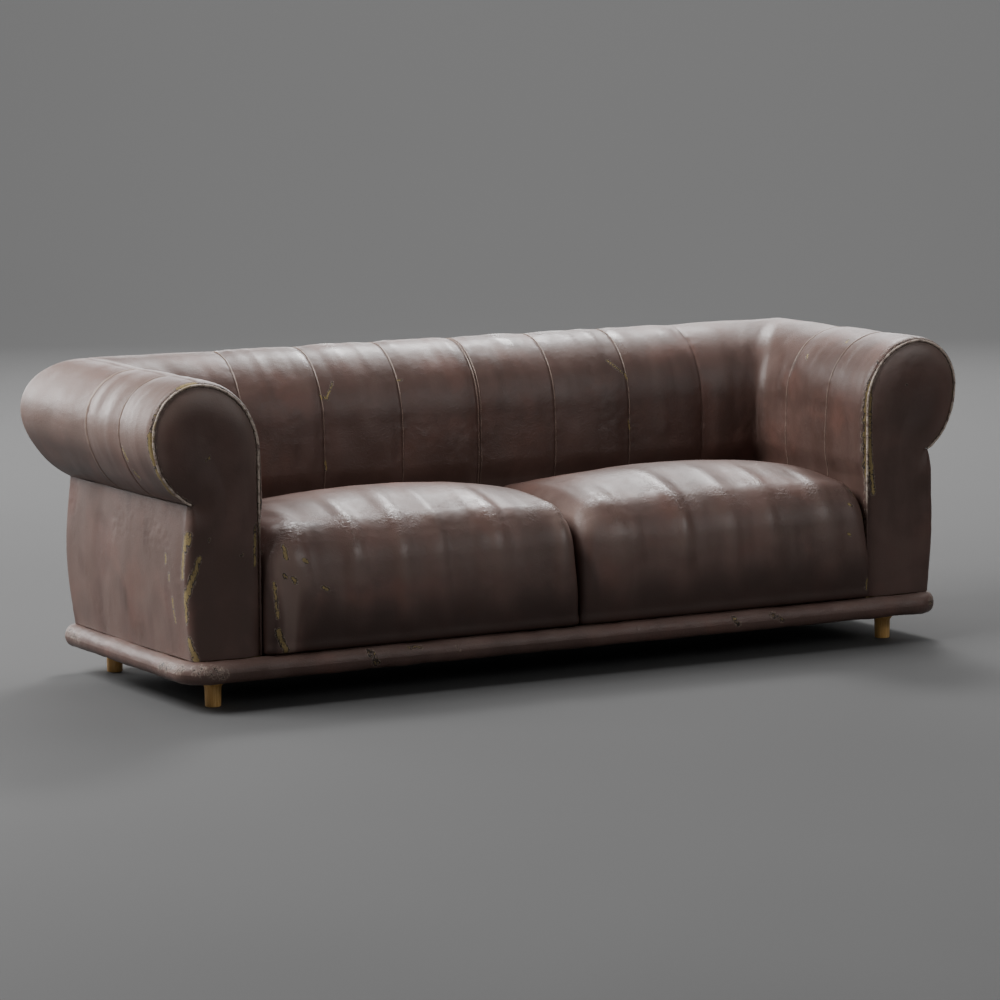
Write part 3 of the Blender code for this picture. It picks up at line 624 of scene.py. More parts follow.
def arm_side_leather(side, name):
    sign = SIGN[side]
    base, outward = wrap_hide(hide_points)
    base, outward = base * (sign, 1, 1), outward * (sign, 1, 1)
    edge_gap = nearest_gap(hide_points, keyhole_edge)
    run, z = hide_points.T
    on_front = ease_in(run, outside_s(z) + 0.03, outside_s(z) - 0.02)
    on_front = np.maximum(on_front, ease_in(z, HIDE_EDGE_Z, HIDE_EDGE_Z + 0.02))
    past_corner = run - outside_s(z) + CORNER_RADIUS - corner_arc / 2
    pillow = FRONT_PILLOW * (1 - np.exp(-edge_gap / 0.030)) - 0.006 * ease_in(edge_gap, 0.05, 0.13)
    dents = 0.0018 * noise_at(base, 0.13, 31, (1, 1, 1.8)) + 0.0006 * noise_at(base, 0.05, 33, (1, 1, 1.6))
    upright = 0.0026 * (1 - on_front) * noise_at(base, 0.095, 34, (1, 1, 3))
    folds = 0.0007 * noise_at(base, 0.018, 36) * ease_in(noise_at(base, 0.12, 37), 0.1, 0.5)
    height = (pillow - 0.0060) * on_front + (dents + upright) * ease_in(edge_gap, 0, 0.03) + folds
    worn_high = ease_in(z, WORN_Z[side] - 0.06, WORN_Z[side] + 0.04)
    # Painted light makes the front paler along the roll's edge and at its top, and painted shade darkens the
    painted_rim_light = 0.80 * bell(edge_gap, 0, 0.040) * ease_in(z, 0.50, 0.64) + 0.40 * ease_in(z, 0.69, 0.75)
    # middle of the roll's front.
    middle = 0.45 * bell(z, 0.600, 0.085) * bell(run, 0.160, 0.095) + FRONT_SHADE[side]
    # Painted light makes the whole outer side paler, with darker upright streaks running down it.
    side_light_and_streaks = -0.42 + 1.3 * np.maximum(0, noise_at(base, 0.080, 35, (1, 1, 3)) - 0.20)
    # A painted highlight runs down the outer corner, and it is partly real rubbing.
    corner_highlight_and_rub = 0.7 * bell(past_corner, 0.003, 0.008) * ease_in(z, 0.34, 0.44) * (z < HIDE_EDGE_Z)
    points = settle(base + outward * height[:, None], side)
    made = add_mesh(name, points, hide_faces if sign > 0 else hide_faces[:, ::-1])
    store(
        made,
        seam=NO_SEAM,
        rub=np.exp(-edge_gap / 0.005) * (0.15 + 0.85 * worn_high),
        tear=in_marks(np.stack([past_corner, z], -1), SIDE_MARKS[side]),
        crinkle=0.2,
        shade=on_front * (middle - painted_rim_light) + (1 - on_front) * side_light_and_streaks - corner_highlight_and_rub,
    )
    return made


arm_sides = both_sides(arm_side_leather, "arm_side_leather", "arm_facing", "outside_arm_panel")

# %% [markdown]
# ## The welt round each arm front
#
# Where the roll's leather meets the arm front, both are sewn over a thin cord. Years of sleeves have worn
# that ridge pale, and it is split and frayed in places. A perfect pipe would look new, so the cord's
# radius and its line both wander.

# %% Sweep a worn cord along the keyhole
WELT_RADIUS = 0.0030
WELT_SIDES = 10
WELT_STEP = 0.0024


def tube_points(path, radius, sides):
    """Rings of points round a path. radius is one number for each point of the path."""
    along = np.gradient(path, axis=0)
    along /= np.linalg.norm(along, axis=1, keepdims=True)
    side = np.cross(along, (0.0, 1.0, 0.0))
    side /= np.linalg.norm(side, axis=1, keepdims=True)
    up = np.cross(side, along)
    turn = np.linspace(0, 2 * math.pi, sides + 1)
    ring = np.cos(turn)[:, None] * side[:, None] + np.sin(turn)[:, None] * up[:, None]
    return path[:, None] + ring * radius[:, None, None]


def arm_welt(side, name):
    line = roll_outline(hide_foot_z, inset=0.0040)
    line = resample(line, np.arange(0, line_length(line), WELT_STEP))
    y = np.full(len(line), front_y + 0.0048)
    path = np.stack([SIGN[side] * (arm_inner_x + line[:, 0]), y, line[:, 1]], -1)
    path += 0.0009 * np.stack([noise_at(path, 0.016, seed) for seed in (41, 42, 43)], -1)
    radius = WELT_RADIUS * (1 + 0.22 * noise_at(path, 0.009, 44) + 0.16 * noise_at(path, 0.035, 45))
    points = tube_points(path, radius, WELT_SIDES)
    points += 0.0004 * noise_at(points, 0.006, 46)[..., None]
    made = add_mesh(name, settle(points, side), grid_faces(len(path), WELT_SIDES + 1, flip=side == "left"))
    on_inner = line[:, 0] < 0.02
    plain = on_inner * ease_in(line[:, 1], WORN_Z[side] + 0.04, WORN_Z[side] - 0.06)
    store(made, shade=np.repeat(plain[:, None], WELT_SIDES + 1, axis=1))
    return made


arm_welts = both_sides(arm_welt, "arm_welt", "arm_piping")

# %% [markdown]
# ## The outside of the back
#
# Nobody sits against it, so it is one plain hide on board, drawn tight between the back corners, with a
# welt down each corner where it meets the arms' hides. It bows out a little below the roll, as the sides
# do, and hangs in faint upright folds.

# %% The back panel and its corner welts
BACK_COLUMNS = 300
BACK_ROWS = 62
BACK_OVERLAP = 0.002  # how far the panel runs on under its corner welts
CORNER_WELT_RADIUS = 0.0031
CORNER_WELT_SIDES = 10


def back_edge_x(out):
    """Where the arm's hide ends on the back."""
    return arm_inner_x + out - CORNER_RADIUS - WRAP_ON_BACK


def outside_back():
    columns = np.linspace(-1, 1, BACK_COLUMNS)
    heights = np.linspace(hide_foot_z, notch_z + 0.004, BACK_ROWS)
    share, z = np.meshgrid(columns, heights, indexing="ij")
    out = outside_s(z)
    x = share * (back_edge_x(out) + BACK_OVERLAP)
    base = np.stack([x, back_inner_y + out + FACING_SET_BACK, z], -1)
    edge = ease_in(1 - np.abs(share), 0, 0.04)
    height = 0.0024 * noise_at(base, 0.12, 51, (1, 1, 2.2)) + 0.0009 * noise_at(base, 0.035, 52, (1, 1, 3))
    height = height * edge * ease_in(z, hide_foot_z, hide_foot_z + 0.05)
    points = base + np.array([0, 1.0, 0]) * height[..., None]
    made = add_mesh("outside_back_leather", points, grid_faces(BACK_COLUMNS, BACK_ROWS, flip=True))
    store(made, seam=NO_SEAM, rub=0, tear=0, crinkle=0.2)
    return made


def corner_welt(side, name):
    z = np.arange(hide_foot_z, notch_z, 0.003)
    out = outside_s(z)
    path = np.stack([SIGN[side] * back_edge_x(out), back_inner_y + out + FACING_SET_BACK + 0.001, z], -1)
    radius = CORNER_WELT_RADIUS * (1 + 0.12 * noise_at(path, 0.012, 54))
    points = tube_points(path, radius, CORNER_WELT_SIDES)
    made = add_mesh(name, points, grid_faces(len(z), CORNER_WELT_SIDES + 1))
    store(made, shade=0.7)
    return made


outside_back_leather = outside_back()
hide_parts("outside_back_panel")
print(outside_back_leather.name, len(outside_back_leather.data.polygons), "quads")
back_corner_welts = [corner_welt(side, f"back_corner_welt_{side}") for side in SIGN]

# %% [markdown]
# ## The roll round the base
#
# A stuffed roll runs right round the sofa's foot. Feet kick it, so it is the most creased and scuffed
# piece of all. A curve with a round bevel would be a clean pipe. Here the same ring is swept round the base,
# and its radius is dented by noise, flattened a little underneath and gathered into small folds at the
# corners.

# %% Walk round the base
BASE_CORNER = {-1: 0.050, 1: 0.030}  # at the front, and tighter at the back
BASE_STEP = 0.0052
BASE_SIDES = 28


def base_line():
    half_x = base_high.x - base_radius
    ends_y = (base_low.y + base_radius, base_high.y - base_radius)
    middle = (ends_y[0] + ends_y[1]) / 2
    half_y = (ends_y[1] - ends_y[0]) / 2
    corners = ((1, 1, 0.0), (-1, 1, 0.5), (-1, -1, 1.0), (1, -1, 1.5))
    line = []
    for side_x, side_y, start in corners:
        radius = BASE_CORNER[side_y]
        centre = (side_x * (half_x - radius), middle + side_y * (half_y - radius))
        line.append(quarter(centre, radius, radius, start * math.pi, (start + 0.5) * math.pi, 40))
    line = np.concatenate([*line, line[0][:1]])
    length = line_length(line)
    return resample(line, np.linspace(0, length, round(length / BASE_STEP), endpoint=False))


BASE_DENT = 0.0016
BASE_TEAR = 0.62  # the depth of a mark along the front
LEFT_END_TEAR = 0.26  # and round the left end, which is scuffed rather than torn

BASE_MARKS = (
    ((-1.085, -0.412, 0.112), (-1.020, -0.425, 0.098), 0.032),
    ((-1.120, -0.270, 0.105), (-1.112, -0.380, 0.112), 0.026),
    ((-1.120, 0.330, 0.120), (-1.120, 0.230, 0.105), 0.030),
    ((-1.122, 0.130, 0.120), (-1.122, 0.115, 0.114), 0.014),
    ((-0.615, -0.420, 0.118), (-0.600, -0.426, 0.086), 0.016),
    ((-0.505, -0.418, 0.118), (-0.470, -0.420, 0.116), 0.009),
    ((-0.372, -0.424, 0.108), (-0.364, -0.424, 0.102), 0.008),
    ((0.450, -0.422, 0.112), (0.465, -0.425, 0.096), 0.012),
    ((0.570, -0.422, 0.112), (0.600, -0.425, 0.096), 0.013),
    ((1.090, -0.405, 0.110), (1.070, -0.418, 0.100), 0.014),
)


def base_roll():
    line = base_line()
    path = np.concatenate([line, np.full((len(line), 1), base_z)], 1)
    along = np.roll(path, -1, axis=0) - np.roll(path, 1, axis=0)
    along /= np.linalg.norm(along, axis=1, keepdims=True)
    outward = np.cross(along, (0.0, 0.0, 1.0))
    turn = np.linspace(0, 2 * math.pi, BASE_SIDES + 1)
    ring = np.cos(turn)[:, None] * outward[:, None] + np.sin(turn)[:, None] * np.array([0, 0, 1.0])
    base = path[:, None] + base_radius * ring
    bend = np.linalg.norm(np.roll(along, -2, axis=0) - np.roll(along, 2, axis=0), axis=1)
    bend = ease_in(bend, 0.02, 0.25)[:, None]
    dents = BASE_DENT * noise_at(base, 0.075, 61) + 0.5 * BASE_DENT * noise_at(base, 0.030, 62)
    folds = bend * 0.0012 * noise_at(base, 0.014, 63)
    under = -0.0015 * np.exp(-(((turn - 1.5 * math.pi) / 0.5) ** 2))
    points = base + ring * (dents + folds + under)[..., None]
    made = add_mesh("base_roll_leather", points, grid_faces(len(path), BASE_SIDES + 1, ring=True))
    scuffed = in_marks(points, BASE_MARKS)
    round_left_end = ease_in(points[..., 0], -0.90, -1.00)
    # Painted light: the roll's upper half is paler towards its top, in mottled patches that are partly real
    # rubbing.
    lit_and_worn_top = np.sin(turn)[None, :] * (0.4 + noise_at(base, 0.09, 64))
    store(
        made,
        seam=NO_SEAM,
        rub=0,
        tear=(BASE_TEAR + (LEFT_END_TEAR - BASE_TEAR) * round_left_end) * scuffed,
        crinkle=0.8,
        shade=-0.5 * np.maximum(0, lit_and_worn_top) - 0.15 - 0.5 * scuffed * round_left_end,
    )
    return made


base_roll_leather = base_roll()
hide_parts("base_roll")
print(base_roll_leather.name, len(base_roll_leather.data.polygons), "quads")

# %% [markdown]
# ## The seat cushions
#
# Each cushion is a deep block of foam in a leather case. The case is crowned on top, tight over its edges
# and slack along its front, where it hangs in wide upright folds that run on over the top. A cube with a
# bevel has none of that. The case starts as the block that the frame holds, in a close grid, and a short
# cloth simulation blows it out a few millimetres from inside, so that it strains at its edges. The folds
# and creases that years of sitting have set in the hide are then pressed in along the normals.

# %% A block's surface as one grid
def block_surface(counts):
    """Every point of a block's surface, from -1 to 1 on each axis, and the quads that join them."""
    sizes = np.array(counts) + 1
    found = []
    for axis in range(3):
        first, second = (axis + 1) % 3, (axis + 2) % 3
        a, b = np.meshgrid(np.arange(counts[first]), np.arange(counts[second]), indexing="ij")
        for end in (0, counts[axis]):
            quad = []
            for da, db in ((0, 0), (1, 0), (1, 1), (0, 1)):
                corner = np.zeros((*a.shape, 3), int)
                corner[..., axis] = end
                corner[..., first], corner[..., second] = a + da, b + db
                quad.append(corner)
            quad = np.stack(quad, 2).reshape(-1, 4, 3)
            found.append(quad if end else quad[:, ::-1])
    corners = np.concatenate(found)
    numbers = corners @ (sizes[1] * sizes[2], sizes[2], 1)
    used, faces = np.unique(numbers, return_inverse=True)
    lattice = np.stack([used // (sizes[1] * sizes[2]), used // sizes[2] % sizes[1], used % sizes[2]], -1)
    return 2 * lattice / np.array(counts) - 1, faces.reshape(-1, 4)


block_points, block_faces = block_surface((84, 50, 34))
print(f"the block has {len(block_points)} points and {len(block_faces)} quads")

# %% Round the block off, crown it and tuck in its foot
CUSHION_TOP_Z = 0.432  # before it is crowned
CUSHION_CROWN = 0.060
CUSHION_PEAK = 0.04  # how far the crown's peak stands towards the sofa's middle
CUSHION_BELLY = 0.30  # the share of its height at which its front stands furthest out
CUSHION_LEAN = 0.030  # how far the top of its front leans back
CUSHION_EDGE = (0.016, 0.060)  # the radius of its upright edges, at their foot and at their top
CUSHION_TOP_EDGE = 0.095
CUSHION_TUCK = 0.014
SWELL_ROOM = 0.004  # the case starts smaller by this much

cushion_low, cushion_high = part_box("seat_cushion_cover_right")


def cushion_form(inset):
    """The right-hand cushion's shape over the block's points."""
    low = np.array([cushion_low.x, cushion_low.y, cushion_low.z]) + inset * np.array([1, 1, 0])
    high = np.array([cushion_high.x, cushion_high.y, CUSHION_TOP_Z]) - inset
    centre, half = (low + high) / 2, (high - low) / 2
    height = (block_points[:, 2] + 1) / 2
    foot_radius, top_radius = CUSHION_EDGE
    around = foot_radius + (top_radius - foot_radius) * height
    top = np.where(block_points[:, 2] > 0, CUSHION_TOP_EDGE, foot_radius)
    radii = np.stack([around, around, top], -1)
    flat = 1 - radii / half
    out = np.sign(block_points) * np.maximum(np.abs(block_points) - flat, 0) * half / radii
    length = np.linalg.norm(out, axis=1, keepdims=True)
    out = np.where(length > 0, out / np.maximum(length, 1e-9), 0)
    points = np.clip(block_points, -flat, flat) * half + out * radii
    u, v, w = (points / half).T
    rise = (1 + w) / 2
    across = u + CUSHION_PEAK * (1 - u * u)
    crown = np.clip(1 - across * across, 0, 1) ** 0.62 * np.clip(1 - v * v, 0, 1) ** 1.5
    points[:, 2] += CUSHION_CROWN * crown * rise
    below = np.maximum(0, 1 - rise / CUSHION_BELLY)
    above = np.maximum(0, rise - CUSHION_BELLY) / (1 - CUSHION_BELLY)
    points[:, 1] += (CUSHION_TUCK * below**2 + CUSHION_LEAN * above**1.5) * np.maximum(0, -v)
    return points + centre


print("a cushion's box:", cushion_form(0).min(0).round(3), cushion_form(0).max(0).round(3))


# %% Blow the case out from inside
SWELL_FRAMES = 20
SWELL_MOST = 0.005  # no point moves further than this
HELD_FOOT = 0.03  # the foot is held up to here


def mesh_points(mesh, field="co"):
    """The place of every point of a mesh, or another of its three-number fields."""
    values = np.empty(len(mesh.vertices) * 3, np.float32)
    mesh.vertices.foreach_get(field, values)
    return values.reshape(-1, 3)


def cloth_swell(made):
    """Runs a short cloth simulation with the air pressed out from inside, and keeps what it gives."""
    start = mesh_points(made.data)
    held = made.vertex_groups.new(name="held")
    low = [k for k, point in enumerate(start) if point[2] < cushion_low.z + HELD_FOOT]
    held.add(low, 1.0, "REPLACE")
    cloth = made.modifiers.new("swell", "CLOTH")
    cloth.settings.quality = 4
    cloth.settings.vertex_group_mass = "held"
    cloth.settings.mass = 0.4
    cloth.settings.tension_stiffness = 25
    cloth.settings.compression_stiffness = 25
    cloth.settings.bending_stiffness = 1.5
    cloth.settings.use_pressure = True
    cloth.settings.uniform_pressure_force = 4
    cloth.settings.shrink_min = 0.01
    cloth.settings.effector_weights.gravity = 0
    cloth.point_cache.frame_start = 1
    cloth.point_cache.frame_end = SWELL_FRAMES
    for frame_number in range(1, SWELL_FRAMES + 1):
        bpy.context.scene.frame_set(frame_number)
    graph = bpy.context.evaluated_depsgraph_get()
    moved = mesh_points(made.evaluated_get(graph).data)
    made.modifiers.remove(cloth)
    made.vertex_groups.clear()
    bpy.context.scene.frame_set(1)
    step = moved - start
    length = np.linalg.norm(step, axis=1, keepdims=True)
    step *= np.minimum(1, SWELL_MOST / np.maximum(length, 1e-9))
    step *= ease_in(start[:, 2:], cushion_low.z + 0.02, cushion_low.z + 0.13)
    made.data.vertices.foreach_set("co", (start + step).ravel())
    made.data.update()
    print(f"{made.name} swelled {length.mean() * 1000:.1f} mm, and {length.max() * 1000:.1f} at most")


def subdivide_once(made):
    """One round of smooth subdivision, applied."""
    finer = made.modifiers.new("finer", "SUBSURF")
    finer.levels = finer.render_levels = 1
    graph = bpy.context.evaluated_depsgraph_get()
    mesh = bpy.data.meshes.new_from_object(made.evaluated_get(graph))
    made.modifiers.remove(finer)
    made.data = mesh


# %% Press the folds and creases in
CUSHION_MARKS = {
    # (x, z) on the front
    "left": (
        ((-0.834, 0.394), (-0.832, 0.367), 0.0080),
        ((-0.786, 0.360), (-0.780, 0.354), 0.0080),
        ((-0.842, 0.326), (-0.838, 0.320), 0.0076),
        ((-0.820, 0.318), (-0.814, 0.308), 0.0092),
        ((-0.738, 0.288), (-0.726, 0.282), 0.0076),
        ((-0.868, 0.310), (-0.866, 0.224), 0.0064),
        ((-0.886, 0.420), (-0.884, 0.380), 0.0072),
        ((-0.866, 0.190), (-0.840, 0.136), 0.0120),
    ),
    "right": (
        ((0.848, 0.418), (0.880, 0.385), 0.0040),
        ((0.833, 0.382), (0.840, 0.377), 0.0056),
        ((0.878, 0.352), (0.879, 0.338), 0.0052),
        ((0.818, 0.307), (0.825, 0.302), 0.0056),
        ((0.880, 0.180), (0.876, 0.155), 0.0064),
    ),
}
RIDGES = {
    # (x, half width, share of the full height) of each ridge that runs from front to back
    "left": (
        (-0.798, 0.036, 0.9),
        (-0.637, 0.032, 1.0),
        (-0.498, 0.026, 0.9),
        (-0.400, 0.021, 0.6),
        (-0.242, 0.042, 1.0),
        (-0.052, 0.026, 1.0),
    ),
    "right": (
        (0.112, 0.044, 1.0),
        (0.305, 0.038, 1.0),
        (0.460, 0.026, 0.6),
        (0.590, 0.032, 0.7),
        (0.756, 0.036, 0.7),
    ),
}
RIDGE_HEIGHT = 0.0092
BAND_HEIGHT = 0.0026
CREASE_HEIGHT = 0.0005
BROAD_HEIGHT = 0.0016
FOOT_BEAD = 0.0055  # how far the edge along the foot stands proud
DEEPEST_FOLD = -0.0028
CUSHION_SEED = {"left": 71, "right": 81}


def soft_floor(value, low, turn):
    """The value, but never below low, with a soft turn where the two meet."""
    above = value - low
    return low + 0.5 * (above + np.sqrt(above**2 + turn**2))


def ridges_at(points, side):
    """The height of the ridges at each point, as a share. Each one wanders as it runs back or down."""
    across = points[:, 0] + 0.016 * noise_at(points, 0.22, CUSHION_SEED[side] + 4, (0.7, 1.4, 1))
    return sum(share * bell(across, middle, width) for middle, width, share in RIDGES[side])


def plain_case(side, name):
    """The case before its folds are pressed in: its object, its points and the way that each one faces."""
    faces = block_faces if side == "right" else block_faces[:, ::-1]
    mirror = (SIGN[side], 1, 1)
    foam = add_mesh(name + "_foam", cushion_form(0) * mirror, faces)
    subdivide_once(foam)
    foam_points = mesh_points(foam.data).astype(float)
    normals = mesh_points(foam.data, "normal").astype(float)
    bpy.data.objects.remove(foam)
    made = add_mesh(name, cushion_form(SWELL_ROOM) * mirror, faces)
    cloth_swell(made)
    subdivide_once(made)
    points = mesh_points(made.data).astype(float)
    swelled = np.einsum("ij,ij->i", points - foam_points, normals)
    points += normals * (soft_floor(swelled, 0.0, 0.001) - swelled)[:, None]
    return made, points, normals


def cushion_folds(points, side):
    """How far the folds stand off the case, and the four masks that its wear needs too."""
    _, y, z = points.T
    seed = CUSHION_SEED[side]
    front = ease_in(y, cushion_low.y + 0.33, cushion_low.y + 0.05)
    height = (z - cushion_low.z) / (cushion_high.z - cushion_low.z)
    free = ease_in(z, cushion_low.z, cushion_low.z + 0.06)
    bands = noise_at(points, 0.050, seed, (1, 8, 6)) + 0.4 * noise_at(points, 0.030, seed + 1, (1, 6, 5))
    bands *= BAND_HEIGHT * (0.25 + 0.75 * front) * free * (0.45 + 0.55 * ease_in(height, 0.1, 0.6))
    ridges = ridges_at(points, side)
    bands += RIDGE_HEIGHT * (ridges - 0.2) * front * free * (0.45 + 0.55 * ease_in(height, 0.15, 0.80))
    edge_line = bell(y, cushion_low.y + 0.055, 0.055) * ease_in(height, 0.62, 0.85)
    creases = CREASE_HEIGHT * noise_at(points, 0.014, seed + 2, (1.6, 1, 1)) * (0.2 + edge_line) * free
    bead = FOOT_BEAD * bell(z, cushion_low.z + 0.010, 0.013) * ease_in(y, 0.0, cushion_low.y + 0.05)
    broad = BROAD_HEIGHT * noise_at(points, 0.13, seed + 3) * free
    folds = soft_floor(bands + creases + broad + bead, DEEPEST_FOLD, 0.0015)
    return folds, (front, height, ridges, edge_line)


def cushion_wear(points, side, masks):
    """What the finish reads: painted shade low down, beside the gaps and in the hollows, painted light across
    the middle, at the shoulders and on the ridges, and torn and polished places.
    """
    front, height, ridges, edge_line = masks
    x, y, z = points.T
    left_end = cushion_low.x if side == "right" else -cushion_high.x
    on_front = ease_in(y, cushion_low.y + 0.12, cushion_low.y + 0.02)
    # Painted shade: the front darkens towards its foot.
    painted_foot_shade = 0.95 * on_front * ease_in(z, cushion_low.z + 0.19, cushion_low.z + 0.02)
    # Painted shade in the gap beside each cushion's left end, and on the left cushion a band of painted light
    # inside it.
    if side == "left":
        low_down = ease_in(z, 0.43, 0.33)
        painted_edge_light = bell(x, left_end + 0.058, 0.026) * low_down
        painted_gap_shade = 1.1 * ease_in(x, left_end + 0.030, left_end + 0.004) * low_down
    else:
        painted_edge_light = 0
        painted_gap_shade = 1.1 * ease_in(x, left_end + 0.060, left_end + 0.004) * ease_in(z, 0.38, 0.29)
    # Painted shade in the hollows between the ridges, and painted light on the ridges.
    hollow_shade_and_ridge_light = 0.40 * (0.55 - np.clip(ridges, 0, 1)) * front * ease_in(height, 0.0, 0.3)
    # Painted light across the middle of the front, and painted highlights on the shoulders beside the middle
    # gap.
    painted_front_light = 0.42 * on_front * bell(z, 0.335, 0.060)
    painted_front_light += 1.1 * front * bell(abs(x), 0.035, 0.035) * bell(z, 0.400, 0.035)
    shade = painted_foot_shade * (1 - 0.9 * painted_edge_light) + on_front * (painted_gap_shade - 1.3 * painted_edge_light)
    shade = shade + hollow_shade_and_ridge_light - painted_front_light - 0.08
    creased = edge_line * ease_in(noise_at(points, 0.07, CUSHION_SEED[side] + 6), -0.25, 0.20)
    return {
        "seam": NO_SEAM,
        "rub": 0,
        "shade": shade,
        "polish": (1.7 * np.clip(ridges, 0, 1) - 0.6) * front * ease_in(height, 0.45, 0.75),
        "tear": in_marks(points[:, [0, 2]], CUSHION_MARKS[side]) * on_front,
        "crinkle": 0.20 + 0.95 * creased,
    }


def seat_cushion(side, name):
    made, points, normals = plain_case(side, name)
    folds, masks = cushion_folds(points, side)
    points += normals * folds[:, None]
    ends = sorted((SIGN[side] * cushion_low.x, SIGN[side] * cushion_high.x))
    points[:, 0] = np.clip(points[:, 0], *ends)
    points[:, 1] = np.minimum(points[:, 1], cushion_high.y)
    points[:, 2] = np.maximum(points[:, 2], cushion_low.z)
    made.data.vertices.foreach_set("co", points.astype(np.float32).ravel())
    made.data.update()
    made.data.shade_smooth()
    store(made, **cushion_wear(points, side, masks))
    return made


cushions = both_sides(seat_cushion, "seat_cushion", "seat_cushion_cover")

# %% [markdown]
# ## Legs
#
# Four short legs were turned from oak with a collar at the top. A lathe cuts a profile, so a profile
# turned round an axis is the natural way to make them, with sides enough for the light to run smoothly.

# %% Turn a leg
LEG_SIDES = 56
leg_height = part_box("leg_front_left")[1].z


def leg_profile():
    """(radius, z) points up a leg: an eased foot, a slight taper, a cove and a rounded collar."""
    return np.array(
        [
            (0.0001, 0.0),
            (0.0120, 0.0),
            (0.0186, 0.0),
            (0.0193, 0.0004),
            (0.0197, 0.0012),
            (0.0199, 0.0028),
            (0.0203, 0.0150),
            (0.0207, 0.0300),
            (0.0210, 0.0440),
            (0.0214, 0.0485),
            (0.0222, 0.0515),
            (0.0238, 0.0538),
            (0.0252, 0.0550),
            (0.0259, 0.0560),
            (0.0262, 0.0575),
            (0.0262, 0.0600),
            (0.0260, 0.0614),
            (0.0254, leg_height - 0.0003),
            (0.0240, leg_height),
            (0.0050, leg_height),
        ]
    )


def turn_leg(name):
    low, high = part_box(name)
    turn = np.linspace(0, 2 * math.pi, LEG_SIDES, endpoint=False)[:, None]
    radius, z = leg_profile().T
    x = (low.x + high.x) / 2 + np.cos(turn) * radius
    y = (low.y + high.y) / 2 + np.sin(turn) * radius
    points = np.stack([x, y, np.broadcast_to(z, x.shape)], -1)
    made = add_mesh("turned_" + name, points, grid_faces(LEG_SIDES, len(z), ring=True))
    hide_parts(name)
    return made


legs = [turn_leg(f"leg_{end}_{side}") for end in ("front", "back") for side in SIGN]
print("legs turned:", len(legs))

# %% [markdown]
# ## The dust cover
#
# Black cloth is stapled under the frame to keep dust in. It is cut off at the corners to clear the legs,
# it sags a little between its staples, and only the staples hold it, so each of them is there.

# %% Cloth that sags between its staples
COVER_CORNER = 0.165  # how much is cut off each corner, along both edges
COVER_SAG = 0.010
COVER_COLUMNS, COVER_ROWS = 200, 76
STAPLE_STEP = 0.045
STAPLE_INSET = 0.008
STAPLE_SIZE = (0.0100, 0.0011, 0.0008)
STAPLE_EDGE = 0.0002
cover_low, cover_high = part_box("dust_cover")


def dust_cover():
    """The cloth, and the line of its edge on the frame."""
    across, deep = np.linspace(-1, 1, COVER_COLUMNS), np.linspace(-1, 1, COVER_ROWS)
    share_x, share_y = np.meshgrid(across, deep, indexing="ij")
    half = np.array([cover_high.x - cover_low.x, cover_high.y - cover_low.y]) / 2
    middle_y = (cover_high.y + cover_low.y) / 2
    y = share_y * half[1]
    reach = np.minimum(half[0], half[0] + half[1] - COVER_CORNER - np.abs(y))
    x = share_x * reach
    inner = np.minimum(reach - np.abs(x), half[1] - np.abs(y))
    base = np.stack([x, y + middle_y, 0 * x + cover_high.z], -1)
    sag = COVER_SAG * ease_in(inner, 0.0, 0.28)
    ripples = 0.0011 * noise_at(base, 0.055, 91) * ease_in(inner, 0.0, 0.03)
    base[..., 2] -= sag + ripples + 0.0006
    made = add_mesh("stapled_dust_cover", base, grid_faces(COVER_COLUMNS, COVER_ROWS, flip=True))
    edge = np.concatenate([base[:, 0], base[-1, 1:], base[-2::-1, -1], base[0, -2:0:-1]])
    return made, edge


def staples(edge):
    """Staples along the edge, each a short steel bar proud of the cloth and set in a little."""
    middle = edge.mean(0)
    line = resample(edge, np.arange(0, line_length(edge), STAPLE_STEP))
    line = line + STAPLE_INSET * (middle - line) / np.linalg.norm(middle - line, axis=1, keepdims=True)
    along = np.gradient(line, axis=0)
    along /= np.linalg.norm(along, axis=1, keepdims=True)
    mesh = bmesh.new()
    for place, way in zip(line, along):
        turn = Matrix.Rotation(math.atan2(way[1], way[0]), 4, "Z")
        size = Matrix.Diagonal((*STAPLE_SIZE, 1))
        spot = Matrix.Translation((place[0], place[1], cover_high.z - 2 * STAPLE_SIZE[2]))
        bmesh.ops.create_cube(mesh, size=1, matrix=spot @ turn @ size)
    bmesh.ops.bevel(mesh, geom=mesh.edges[:], offset=STAPLE_EDGE, segments=1, affect="EDGES")
    data = bpy.data.meshes.new("dust_cover_staples")
    mesh.to_mesh(data)
    mesh.free()
    made = bpy.data.objects.new("dust_cover_staples", data)
    bpy.context.scene.collection.objects.link(made)
    return made, len(line)


cover_cloth, cover_edge = dust_cover()
cover_staples, staple_count = staples(cover_edge)
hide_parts("dust_cover")
print("staples:", staple_count)

# %% [markdown]
# ## Writing a finish
#
# A finish is a small program of nodes. Wiring it by hand hides what it computes, so sums are written as
# Python expressions here: a wrapped socket knows how to add, subtract and multiply, and puts in the Math
# node that each step needs. Every other node comes from one method.

# %% A socket that can take part in sums
class Value:
    def __init__(self, finish, socket):
        self.finish = finish
        self.socket = socket

    def sum(self, operation, first, second):
        return self.finish.node("Math", {"operation": operation}, {0: first, 1: second})

    def __add__(self, other):
        return self.sum("ADD", self, other)

    def __radd__(self, other):
        return self.sum("ADD", other, self)

    def __sub__(self, other):
        return self.sum("SUBTRACT", self, other)

    def __rsub__(self, other):
        return self.sum("SUBTRACT", other, self)

    def __mul__(self, other):
        return self.sum("MULTIPLY", self, other)

    def __rmul__(self, other):
        return self.sum("MULTIPLY", other, self)

    def __abs__(self):
        return self.sum("ABSOLUTE", self, 0.0)


